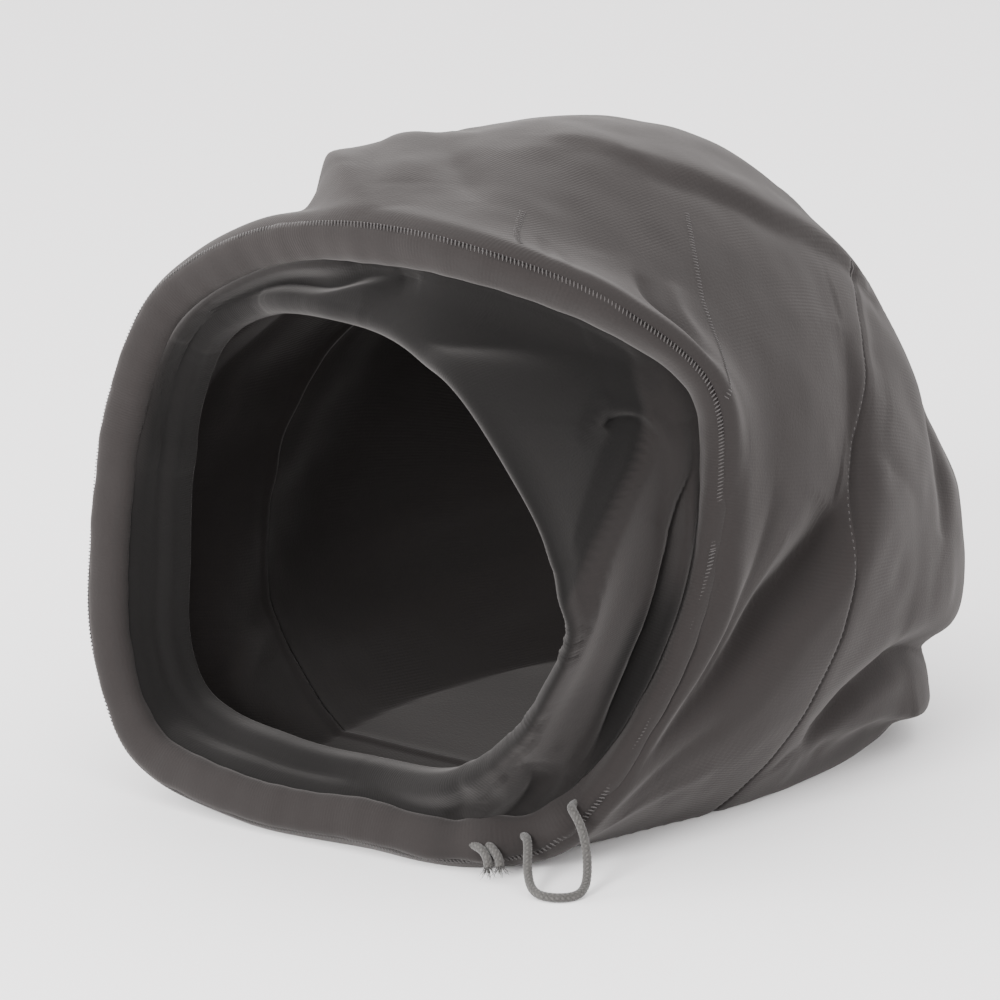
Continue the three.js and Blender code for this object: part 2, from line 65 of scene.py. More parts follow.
# Mouth ring, seen from the front and listed counter-clockwise from the near side.
# Columns: turn, across (share of mouth_width), up (share of mouth_rise above the seat),
# back (share of mouth_lean behind the front edge)
MOUTH = [
    (17, 0.520, 0.655, 1.085),
    (30, 0.512, 0.780, 1.000),
    (43, 0.422, 0.890, 0.723),
    (60, 0.266, 0.960, 0.447),
    (83, 0.057, 0.980, 0.319),
    (112, -0.180, 0.935, 0.266),
    (138, -0.365, 0.812, 0.202),
    (162, -0.439, 0.633, 0.138),
    (188, -0.471, 0.417, 0.106),
    (210, -0.467, 0.205, 0.085),
    (228, -0.389, 0.050, 0.074),
    (251, -0.164, 0.000, 0.085),
    (278, 0.070, 0.003, 0.191),
    (300, 0.266, 0.002, 0.319),
    (310, 0.369, 0.030, 0.511),
    (334, 0.467, 0.250, 0.894),
]

# Lip of the facing, where the cloth meets the opening.
# Columns: turn, across (share of opening_width), up (share of opening_rise), back (share of
# mouth_lean), recess (share of fold_depth that the facing bellies back)
LIP = [
    (17, 0.519, 0.634, 0.310, 1.4),
    (30, 0.452, 0.780, 0.235, 1.4),
    (43, 0.342, 0.905, 0.225, 1.0),
    (60, 0.202, 0.985, 0.250, 0.6),
    (83, 0.029, 1.015, 0.290, 0.4),
    (112, -0.215, 1.000, 0.290, 0.3),
    (138, -0.400, 0.890, 0.290, 0.2),
    (162, -0.470, 0.680, 0.270, 0.2),
    (188, -0.488, 0.440, 0.260, 0.2),
    (210, -0.480, 0.215, 0.240, 0.2),
    (228, -0.395, 0.100, 0.240, 0.1),
    (251, -0.165, 0.060, 0.240, 0.1),
    (278, 0.058, 0.065, 0.280, 0.1),
    (300, 0.280, 0.110, 0.230, 0.2),
    (310, 0.385, 0.180, 0.240, 0.4),
    (334, 0.491, 0.350, 0.240, 1.0),
]

# Cross-sections of the body, front to back.
# Columns: back (share of bag_depth behind the origin), near and far (shares of half the
# width), top, waist and sink (shares of bag_height), crown and base (squareness)
SECTIONS = [
    (-0.346, 0.94, 0.88, 0.93, 0.42, 0.05, 2.0, 2.1),
    (-0.26, 0.95, 0.90, 0.95, 0.42, 0.06, 2.0, 2.1),
    (-0.20, 0.96, 0.92, 0.97, 0.42, 0.07, 2.0, 2.1),
    (-0.12, 0.97, 0.94, 0.98, 0.41, 0.09, 2.0, 2.1),
    (-0.03, 0.98, 0.97, 0.99, 0.40, 0.12, 2.0, 2.0),
    (0.10, 0.99, 0.99, 1.00, 0.39, 0.15, 2.0, 2.0),
    (0.24, 0.97, 0.97, 0.98, 0.37, 0.16, 1.9, 2.0),
    (0.37, 0.90, 0.90, 0.92, 0.34, 0.15, 1.8, 2.0),
    (0.48, 0.80, 0.79, 0.80, 0.30, 0.11, 1.8, 2.0),
    (0.57, 0.62, 0.60, 0.64, 0.28, 0.04, 1.8, 2.0),
    (0.63, 0.36, 0.34, 0.46, 0.27, -0.08, 1.9, 2.0),
    (0.648, 0.19, 0.18, 0.37, 0.27, -0.17, 2.0, 2.0),
    (0.654, 0.00, 0.00, 0.27, 0.27, -0.27, 2.0, 2.0),
]

# Way of the cloth from the hem to the back.
# Columns: along, depth (share of the way back), ring (share of the mouth's own outline that
# is kept), puff (share of hem_thickness that it bulges out)
WAY_BACK = [
    (0.00, 0.000, 1.00, 0.00),
    (0.05, 0.022, 0.92, 0.42),
    (0.10, 0.062, 0.66, 0.40),
    (0.18, 0.150, 0.24, 0.15),
    (0.28, 0.270, 0.03, 0.00),
    (0.40, 0.415, 0.00, 0.00),
    (0.55, 0.590, 0.00, 0.00),
    (0.70, 0.750, 0.00, 0.00),
    (0.82, 0.870, 0.00, 0.00),
    (0.92, 0.955, 0.00, 0.00),
    (1.00, 1.000, 0.00, 0.00),
]

# Rear seam of the front panel. Columns: turn, along
SEAM = [
    (3, 0.32),
    (18, 0.38),
    (32, 0.48),
    (50, 0.62),
    (90, 0.68),
    (130, 0.62),
    (162, 0.38),
    (184, 0.31),
    (240, 0.33),
    (300, 0.33),
    (346, 0.30),
]

# Folds of the body. Columns: depth (share of fold_depth, below zero for a valley), left and
# right (how far it reaches on either side, seen from outside with its path running down the
# page, as shares of fold_width), path of (along, turn)
BODY_FOLDS = [
    # Broad shapes
    (0.5, 0.8, 0.8, [(0.16, 110), (0.21, 110), (0.27, 107), (0.33, 103)]),
    (-1.8, 1.9, 1.9, [(0.08, 134), (0.24, 138), (0.42, 140)]),
    (0.25, 0.8, 0.8, [(0.36, 76), (0.42, 66), (0.56, 51), (0.66, 48)]),
    (-0.8, 0.9, 0.9, [(0.68, 75), (0.82, 62), (0.9, 20)]),
    (-0.9, 1.0, 1.0, [(0.46, 150), (0.34, 178), (0.22, 198), (0.1, 214)]),
    (-0.7, 1.0, 1.0, [(0.4, -41), (0.52, -39), (0.64, -38)]),
    # Peak over the mouth's far corner
    (1.15, 0.42, 0.62, [(0.30, 126), (0.212, 114), (0.138, 100), (0.04, 84)]),
    (0.40, 0.60, 0.80, [(0.40, 116), (0.30, 111), (0.20, 98), (0.14, 88)]),
    (-0.15, 0.25, 0.25, [(0.30, 114), (0.22, 104), (0.12, 91), (0.05, 80)]),
    (-0.70, 0.50, 0.30, [(0.22, 124), (0.17, 117), (0.10, 106), (0.03, 93)]),
    (-0.30, 0.40, 0.30, [(0.34, 108), (0.26, 96), (0.20, 84), (0.15, 74)]),
    # Crown
    (0.30, 0.15, 0.70, [(0.36, 72), (0.43, 59), (0.47, 54), (0.585, 50), (0.66, 47)]),
    (-0.22, 0.50, 0.14, [(0.35, 66), (0.43, 56), (0.50, 51.5), (0.585, 48.5), (0.66, 45)]),
    (0.15, 0.20, 0.60, [(0.33, 84), (0.36, 77), (0.37, 68), (0.40, 62)]),
    (-0.16, 0.60, 0.60, [(0.31, 80), (0.23, 66), (0.16, 55)]),
    # Puckers beside the mouth's near corner
    (-0.45, 0.16, 0.24, [(0.18, 49), (0.13, 43), (0.10, 37), (0.06, 32)]),
    (0.22, 0.20, 0.25, [(0.21, 46), (0.16, 41), (0.12, 36)]),
    (-0.16, 0.10, 0.14, [(0.13, 60), (0.09, 56), (0.04, 53)]),
    (-0.14, 0.10, 0.12, [(0.12, 56), (0.08, 52), (0.03, 49)]),
    # Near side, gathered towards the place where the cord comes out
    (-0.75, 0.90, 0.32, [(0.46, 36), (0.40, 25), (0.335, 11), (0.25, 1), (0.17, -8), (0.11, -24),
                         (0.03, -39)]),
    (-1.25, 0.85, 0.30, [(0.31, 9), (0.28, 3), (0.24, -2), (0.17, -9), (0.11, -24), (0.04, -38)]),
    (0.70, 0.55, 1.40, [(0.42, 16), (0.36, 7), (0.305, -1), (0.235, -11), (0.19, -25), (0.13, -39)]),
    (0.70, 0.30, 0.40, [(0.09, 16), (0.06, 1), (0.072, -5), (0.075, -14), (0.06, -25), (0.02, -40)]),
    (-0.95, 0.30, 0.20, [(0.05, 14), (0.035, 0), (0.035, -9), (0.03, -17), (0.015, -28), (0.008, -42)]),
    (-0.40, 0.30, 0.22, [(0.16, 12), (0.12, -6), (0.11, -16), (0.085, -27), (0.03, -41)]),
    (0.30, 0.25, 0.30, [(0.20, 6), (0.15, -7), (0.125, -18), (0.09, -31), (0.04, -43)]),
    (-0.25, 0.20, 0.20, [(0.16, -26), (0.11, -36), (0.05, -45)]),
    (0.22, 0.25, 0.25, [(0.20, -34), (0.13, -42), (0.06, -50)]),
    # Behind the rear seam
    (-1.30, 0.70, 0.28, [(0.84, -31), (0.74, -26), (0.62, -21.5), (0.53, -21.5), (0.43, -26), (0.37, -33)]),
    (0.90, 0.35, 0.45, [(0.86, -41), (0.74, -36), (0.62, -32), (0.52, -32), (0.44, -36)]),
    (0.40, 0.70, 0.50, [(0.82, -16), (0.72, -16), (0.60, -13), (0.50, -13)]),
    (-0.35, 0.25, 0.35, [(0.60, -32), (0.50, -33), (0.42, -37)]),
    (-0.18, 0.40, 0.60, [(0.70, 52), (0.60, 42), (0.53, 34), (0.46, 26)]),
    # Far side, back and top
    (-0.25, 0.4, 0.4, [(0.30, 122), (0.22, 140), (0.16, 160)]),
    (0.30, 0.4, 0.5, [(0.34, 132), (0.26, 152), (0.18, 172), (0.10, 186)]),
    (-0.35, 0.4, 0.3, [(0.30, 206), (0.22, 216), (0.12, 226)]),
    (0.25, 0.3, 0.5, [(0.80, 140), (0.66, 152), (0.50, 166)]),
    (-0.45, 0.5, 0.3, [(0.86, 60), (0.74, 40), (0.66, 18), (0.62, 4)]),
    (0.25, 0.6, 0.4, [(0.92, 110), (0.78, 112), (0.64, 118)]),
    (-0.40, 0.6, 0.35, [(0.90, 190), (0.74, 190), (0.56, 196), (0.44, 200)]),
    (-0.35, 0.35, 0.5, [(0.88, 240), (0.78, 226), (0.62, 214)]),
]

# The front seam that is sewn into the body, and the short hatched crease: (along, turn)
FRONT_SEAM = [(0.34, 57), (0.31, 53), (0.27, 48), (0.235, 43.5), (0.17, 36), (0.10, 31), (0.03, 27)]
HATCHED_CREASE = [(0.165, 67), (0.12, 63), (0.06, 58)]

# Folds of the facing, as those of the body; along runs from the hem, 0, to the roll, 1
FACING_FOLDS = [
    # Over the top of the opening
    (0.70, 0.22, 0.30, [(0.10, 156), (0.10, 134), (0.12, 118), (0.10, 102), (0.07, 88)]),
    (-0.80, 0.20, 0.25, [(0.22, 128), (0.30, 107), (0.33, 92), (0.20, 82), (0.15, 72)]),
    (0.65, 0.20, 0.22, [(0.42, 112), (0.42, 93), (0.30, 84), (0.16, 77)]),
    (-0.50, 0.30, 0.60, [(0.52, 80), (0.42, 59), (0.27, 48), (0.14, 38), (0.06, 31)]),
    # Turned-out flap on the near side, with the cloth curled in above it
    (0.85, 0.10, 1.20, [(0.10, 35), (0.20, 26.5), (0.265, 20), (0.34, 14.5), (0.40, 8.5), (0.43, 0),
                        (0.44, -14), (0.44, -30), (0.42, -46)]),
    (-0.45, 0.90, 0.20, [(0.20, 38), (0.28, 29), (0.33, 23), (0.40, 17), (0.44, 12)]),
    (0.50, 0.8, 0.9, [(0.24, 6), (0.28, -4), (0.31, -16), (0.30, -30), (0.24, -44)]),
    (0.30, 0.12, 0.16, [(0.15, 19), (0.19, 25), (0.24, 30.5), (0.29, 32.5), (0.32, 29), (0.30, 25)]),
    (-0.30, 0.12, 0.12, [(0.21, 22), (0.24, 27), (0.28, 29), (0.27, 26)]),
    (-1.10, 0.16, 0.20, [(0.05, 24), (0.07, 14), (0.12, 8), (0.155, -2), (0.16, -14), (0.16, -27),
                         (0.09, -40)]),
    (1.30, 0.50, 0.34, [(0.04, 22), (0.05, 10), (0.07, 0), (0.08, -14), (0.07, -28), (0.03, -42)]),
    # Pleats down to the cord
    (0.22, 0.18, 0.22, [(0.46, -48), (0.30, -53), (0.12, -58), (0.0, -60)]),
    (-0.25, 0.16, 0.18, [(0.44, -42), (0.28, -47), (0.10, -54), (0.0, -57)]),
    (-0.20, 0.18, 0.18, [(0.46, -56), (0.28, -60), (0.08, -63)]),
    (0.25, 0.16, 0.20, [(0.34, -38), (0.22, -44), (0.08, -52)]),
    # Far side and floor
    (0.30, 0.24, 0.3, [(0.30, 140), (0.34, 156), (0.36, 172)]),
    (-0.35, 0.18, 0.2, [(0.20, 140), (0.26, 152), (0.40, 164)]),
    (0.22, 0.2, 0.3, [(0.2, 230), (0.3, 250), (0.25, 275)]),
]

# Edge of the turned-out flap, and the rolled rim beside the hem: (along, turn)
FLAP_EDGE = [
    (0.10, 36), (0.20, 27), (0.265, 20.5), (0.34, 15), (0.42, 9), (0.50, 0), (0.55, -20),
    (0.50, -40), (0.44, -54),
]
FACING_RIM = [(0.10, 180), (0.12, 160), (0.10, 140), (0.10, 118), (0.08, 100), (0.05, 88)]

# Guide points of the free loop: across, back and up, in millimetres from the straight line that
# joins the two places where it leaves and comes back to the middle of the hem
LOOP_ROUTE = [
    (0, 0, 0), (1.9, 0.6, -0.3), (3.9, 0.1, -0.4), (6, -1.9, -0.2),
    (8, -5.2, -1.2), (9.9, -9.4, -4.7), (11.4, -13.5, -9.2), (13.4, -17.7, -13.5),
    (16.6, -21.9, -17.3), (20.9, -25.1, -19.4), (25.7, -25.1, -20.2), (29.5, -21.9, -21.1),
    (30, -16.8, -21.9), (27, -12, -20.6), (23.2, -9.2, -17), (20.2, -8.4, -12.5),
    (17.5, -8.9, -7.4), (14.1, -9.9, -2.9), (9.7, -10.4, -0.5), (5.2, -9.4, -0.4),
    (1.8, -7.2, -1.6), (0.3, -4.6, -2.4), (-0.4, -2.1, -1.8), (0, 0, 0),
]

# Way of the cord out of the hem, as shares of cord_bend from the slit's middle.
# Columns: travel (along the hem), rise (out through its front), drop (to its outer edge)
CORD_EXIT = [
    (-1.00, 0.00, 0.00),
    (-0.66, 0.06, 0.06),
    (-0.34, 0.24, 0.25),
    (-0.10, 0.52, 0.38),
    (0.00, 0.82, 0.72),
    (0.00, 0.96, 1.15),
    (0.00, 1.00, 1.60),
]

# Turns at which the cord comes out of the hem, and how far a cut end leans along it in metres
FIRST_END = 300.6
SECOND_END = 301.9
LOOP_LEAVES = 304.7
LOOP_RETURNS = 317.8
END_LEAN = 0.0085
# Guide points between two of the loop's, and points on a cord end
LOOP_STEPS = 6
END_POINTS = 60
# Every so many points of the loop are listed as its path, and the list is not kept
PATH_EVERY = 8

# Braid of the cord: faces round it, strands each way, metres for one round, metres for a row
BRAID_SIDES = 28
BRAID_STRANDS = 6
BRAID_PITCH = 0.011
BRAID_STEP = 0.00032
# Share of the radius at the bottom of the braid, and share of tone in its right-hand strands
BRAID_CORE = 0.84
BRAID_SHADE = 0.62

# Frayed yarns of a cut end: how many, their thickness, how far back they start and least and most
# length in metres, how much thinner their tips are, least height over the floor, tone, points on
# each, least and most share of the radius where they start, how far they spread, how much they
# bend, and the corners of their section in radians
FRAY_YARNS = 46
FRAY_THICKNESS = 0.00016
FRAY_ROOT = 0.0012
FRAY_LENGTH = (0.0018, 0.0045)
FRAY_TAPER = 0.6
FRAY_FLOOR = 0.0003
FRAY_TONE = 0.4
FRAY_ROWS = 5
FRAY_INSIDE = (0.1, 0.92)
FRAY_SPREAD = (0.1, 0.9)
FRAY_BEND = 0.3
FRAY_CORNERS = (0, 2.1, 4.2)

# Points read on the path of each fold or edge, and how its height fades at both ends
FOLD_SAMPLES = 120
FOLD_FADE = 0.5
EDGE_FADE = 0.4
# Reach of a fold beyond which nothing is pushed; narrow folds are sharper than broad ones
FOLD_MARGIN = 2.6
BROAD_FOLD = 0.5
BROAD_POWER = 2
NARROW_POWER = 1.6

# How far each cloth passes the rear seam (share of along), and the groove it draws in metres
SEAM_LAP = 0.003
SEAM_GROOVE = 0.0012
# Share of the folds that the hem holds back, and the place from which they fade at the back
HEM_HOLD = 0.75
BACK_FADE = 0.95
# Place on the facing from which its roll moves in one piece with the lip, and the place up to
# which the hem holds it
LIP_AT = 0.44
FACING_FREE = 0.08
# Where the flap ends at the lip, and the widths in metres of its mark and of the rim's
FLAP_END = (0.46, 0.52)
FLAP_MARK = (0.05, 0.0015)
RIM_MARK = (0.010, 0.004)
# Direction from which the flap is seen
FLAP_SEEN = (0.6, -0.8, 0.0)

# Unevenness of the cloth. Columns: height and grain in metres, seed
BODY_GRAIN = [(0.0009, 0.035, 3.1), (0.0004, 0.014, 8.4)]
FACING_GRAIN = (0.0006, 0.025, 5.2)
HEM_GRAIN = (0.0008, 0.02, 1.4)
# Slack cloth, away from the taut near side. Columns: height, stretch, grain, seed
SLACK_GRAIN = [(0.0042, (1.0, 0.4, 0.9), 0.042, 6.6), (0.0016, (1.0, 0.5, 1.0), 0.020, 9.7)]
# Turn of the taut side's middle, slack there, degrees from it over which the cloth goes slack,
# and places along over which it does so towards the back
TAUT_TURN = 25
TAUT_SLACK = 0.25
TAUT_REACH = (60, 110)
TAUT_BACK = (0.60, 0.75)

# Ripples of the hem (how many in a full round, height in metres), where the second ones gather
# (turn, width), where the near side is (turn from -X, width, power), and its ridge and groove
# (angle round the section, width, height)
HEM_RIPPLE = (60, 0.0001)
HEM_GATHER = (36, 0.0012)
GATHER_AT = (305, 12)
HEM_NEAR = (165, 30, 4)
RIDGE = (118, 22, 0.0011)
GROOVE = (72, 20, 0.00121)

# Columns and rows of each cloth, and the length of its rows' UV map in metres
BODY_COLUMNS = 330
BODY_ROW = 0.0016
FRONT_ROWS = 118
REAR_ROWS = 72
HEM_MESH = (420, 30)
HEM_ROUND = 0.045
FACING_MESH = (480, 80)
FACING_DOWN = 0.07
BODY_MIDDLE = (0, 0.02, 0.12)

# Stitches: thickness, height over the cloth and half length in metres; place of the overlock on
# the body (along) and on the hem (angle round its section); distance of the rear row from its
# seam (along)
THREAD = 0.0006
FINE_THREAD = 0.0005
RIM_LIFT = 0.0002
BODY_LIFT = 0.0005
FINE_LIFT = 0.0001
HALF_STITCH = 0.0006
HALF_REAR_STITCH = 0.0007
OVERLOCK_ALONG = 0.012
OVERLOCK_SIDE = 160.0
REAR_ROW = 0.006
LOWEST_STITCH = 0.002
FRONT_STITCH = 0.0026
CREASE_STITCH = 0.0032

# Finish of the cloth, cord and floor: specular level, and roughness of the sheen
GLOSS = 0.12
SHEEN_ROUGHNESS = 0.5
# Grains to the metre of the worn patches in the ribs, of the fuzz and of the slow tones, of the
# cord's fibres and of the thread's
PATCH_GRAIN = 26
FUZZ_GRAIN = 900
TONE_GRAIN = 9
CORD_GRAIN = 1500
THREAD_GRAIN = 2500
# Height in metres of the bumps on the cloth, on the facing and on the cord
CLOTH_BUMP = 0.00012
FACING_BUMP = 0.00010
CORD_BUMP = 0.0001
# Tone of the facing's outside against the body's, and of the thread's dark against its light
OUTSIDE_TONE = 0.8
THREAD_TONE = 0.7

# Studio. Columns: name, place in metres, size in metres, watts
LIGHTS = [
    ("key", (0.4, -2.3, 1.05), 0.9, 95),
    ("fill", (-1.6, -1.6, 0.6), 1.2, 45),
    ("top", (0.4, 0.8, 2.2), 1.4, 10),
]
LIGHTS_AIM = (0, 0, 0.12)
WORLD_COLOUR = (1.0, 0.985, 0.99, 1)
WORLD_STRENGTH = 2.6
FLOOR_SIZE = 9

CAMERA_AZIMUTH = 42
CAMERA_ELEVATION = 15
CAMERA_DISTANCE = 1.7083
CAMERA_LENS = 150
CAMERA_AIM = 0.120


def metres(name, description, default):
    """A length that the user can change."""
    return FloatProperty(name=name, description=description, default=default, subtype="DISTANCE")


def colour(name, description, default):
    """A colour that the user can change."""
    return FloatVectorProperty(name=name, description=description, default=default, subtype="COLOR")


class BagSizes(bpy.types.PropertyGroup):
    """Sizes of the bag, in metres"""

    bag_width: metres("Bag width", "Width of the filled bag", 0.280)
    bag_depth: metres("Bag depth", "Length front to back", 0.347)
    bag_height: metres("Bag height", "Height of the filled bag", 0.272)
    mouth_width: metres("Mouth width", "Width of the hem's ring", 0.244)
    mouth_rise: metres("Mouth rise", "Height of the hem's ring", 0.236)
    mouth_lean: metres("Mouth lean", "How far the ring leans back", 0.094)
    opening_width: metres("Opening width", "Width inside the lip", 0.212)
    opening_rise: metres("Opening rise", "Height inside the lip", 0.200)
    cloth: metres("Cloth", "Thickness of the knit", 0.0016)
    hem_width: metres("Hem width", "Width of the folded hem", 0.017)
    hem_thickness: metres("Hem thickness", "Thickness of the hem", 0.0096)
    hem_tilt: FloatProperty(
        name="Hem tilt",
        description="Tilt of the hem towards the opening",
        default=math.radians(25),
        subtype="ANGLE",
    )
    facing_roll: metres("Facing roll", "Depth of the rolled lip", 0.013)
    cord: metres("Cord", "Diameter of the cord", 0.0036)
    cord_bend: metres("Cord bend", "Reach of the cord's bend out of the hem", 0.008)
    fold_depth: metres("Fold depth", "Depth of a full fold", 0.010)
    fold_width: metres("Fold width", "Width of a full fold", 0.022)
    gap: metres("Gap", "Clearance between pieces", 0.0003)
    rib_pitch: metres("Rib pitch", "Distance between the knit's ribs", 0.0014)
    stitch_pitch: metres("Stitch pitch", "Distance between stitches", 0.0015)
    seed: IntProperty(name="Seed", description="Seed of the frayed strands", default=7)


class BagColours(bpy.types.PropertyGroup):
    """Colours of the bag and of the floor"""

    cloth: colour("Cloth", "Brushed knit", (0.0180, 0.0157, 0.0152))
    cloth_dark: colour("Cloth in shade", "Darker fibres", (0.0132, 0.0115, 0.0112))
    # The facing's two colours are painted shade: far darker than the cloth's, they stand for the shade
    # inside the mouth
    facing: colour("Facing", "Inner face of the knit", (0.0048, 0.0044, 0.0043))
    shaded_facing_dark: colour("Facing in shade", "Darker fibres inside", (0.0038, 0.0035, 0.0034))
    cord: colour("Cord", "Braid", (0.075, 0.072, 0.068))
    # Dark flecks of the cord, also used as the painted shade in the grooves of its braid
    cord_flecks_and_groove_shade: colour("Cord flecks", "Dark yarns of the braid", (0.014, 0.0132, 0.0125))
    thread: colour("Thread", "Sewing thread", (0.045, 0.041, 0.040))
    floor: colour("Floor", "Plain pale floor", (0.88, 0.87, 0.87))


def unit(vectors):
    """Vectors of length one along the last axis."""
    return vectors / np.maximum(np.linalg.norm(vectors, axis=-1, keepdims=True), 1e-12)


def dot(a, b):
    """Dot products along the last axis."""
    return (a * b).sum(-1)


def signed_power(value, power):
    """A power that keeps the sign."""
    return np.sign(value) * np.abs(value) ** power


def smoothstep(value, low, high):
    """0 below low, 1 above high, smooth between."""
    share = np.clip((value - low) / (high - low), 0, 1)
    return share * share * (3 - 2 * share)


def bell(value, middle, width, power=2):
    """1 at the middle, falling to 0 on both sides."""
    return np.exp(-(((value - middle) / width) ** power))


class SmoothTable:
    """A smooth reading of rows by their first column, which may go once round."""

    def __init__(self, rows, around=False):
        data = np.array(rows, float)
        if around:
            turn = np.zeros(data.shape[1])
            turn[0] = 360
            data = np.vstack([data[-3:] - turn, data, data[:3] + turn])
        self.around = around
        self.at = data[:, 0]
        self.values = data[:, 1:]

    def __call__(self, at):
        at = np.asarray(at, float)
        if self.around:
            at = np.mod(at, 360)
        at = np.clip(at, self.at[0], self.at[-1])
        last = len(self.at) - 1
        i1 = np.clip(np.searchsorted(self.at, at, side="right"), 1, last)
        i0 = i1 - 1
        t0, t1 = self.at[i0], self.at[i1]
        first, final = i0 == 0, i1 == last
        before = np.where(first, i1, i0 - 1)
        after = np.where(final, i0, np.minimum(i1 + 1, last))
        t_before = np.where(first, 2 * t0 - t1, self.at[before])
        t_after = np.where(final, 2 * t1 - t0, self.at[after])
        half = (t1 - t0) / 2
        w0 = half / (t0 - t_before)
        w1 = half / (t_after - t1)
        p = (at - t0) / (t1 - t0)
        weights = (
            -w0 * p**3 + 2 * w0 * p**2 - w0 * p,
            (1 + w0) * p**3 + (-1.5 - 2 * w0) * p**2 + (w0 - 0.5) * p + 1,
            (-1 - w1) * p**3 + (1.5 + w1) * p**2 + 0.5 * p,
            w1 * p**3 - w1 * p**2,
        )
        read = sum(
            weight[..., None] * self.values[index]
            for weight, index in zip(weights, (before, i0, i1, after))
        )
        return np.moveaxis(read, -1, 0)


def centripetal_curve(corners, share):
    """Points at a share of the way through corners, given as (corner, place, xyz)."""
    corners = [2 * corners[0] - corners[1], *corners, 2 * corners[-1] - corners[-2]]
    corners = np.array(corners)
    spans = len(corners) - 3
    place = np.clip(share, 0, 1) * spans
    step = np.minimum(place.astype(int), spans - 1)
    t = (place - step)[:, None]
    which = np.arange(len(step))
    x0, x1, x2, x3 = (corners[step + k, which] for k in range(4))
    d0, d1, d2 = (
        np.maximum(np.linalg.norm(b - a, axis=-1, keepdims=True) ** 0.5, 1e-6)
        for a, b in ((x0, x1), (x1, x2), (x2, x3))
    )
    m1 = ((x1 - x0) / d0 - (x2 - x0) / (d0 + d1) + (x2 - x1) / d1) * d1
    m2 = ((x2 - x1) / d1 - (x3 - x1) / (d1 + d2) + (x3 - x2) / d2) * d1
    return x1 + m1 * t + (3 * (x2 - x1) - 2 * m1 - m2) * t**2 + (2 * (x1 - x2) + m1 + m2) * t**3


def smooth_line(corners, count):
    """Count points on a smooth line through a few corners."""
    corners = np.asarray(corners, float)
    return centripetal_curve(np.repeat(corners[:, None], count, axis=1), np.linspace(0, 1, count))


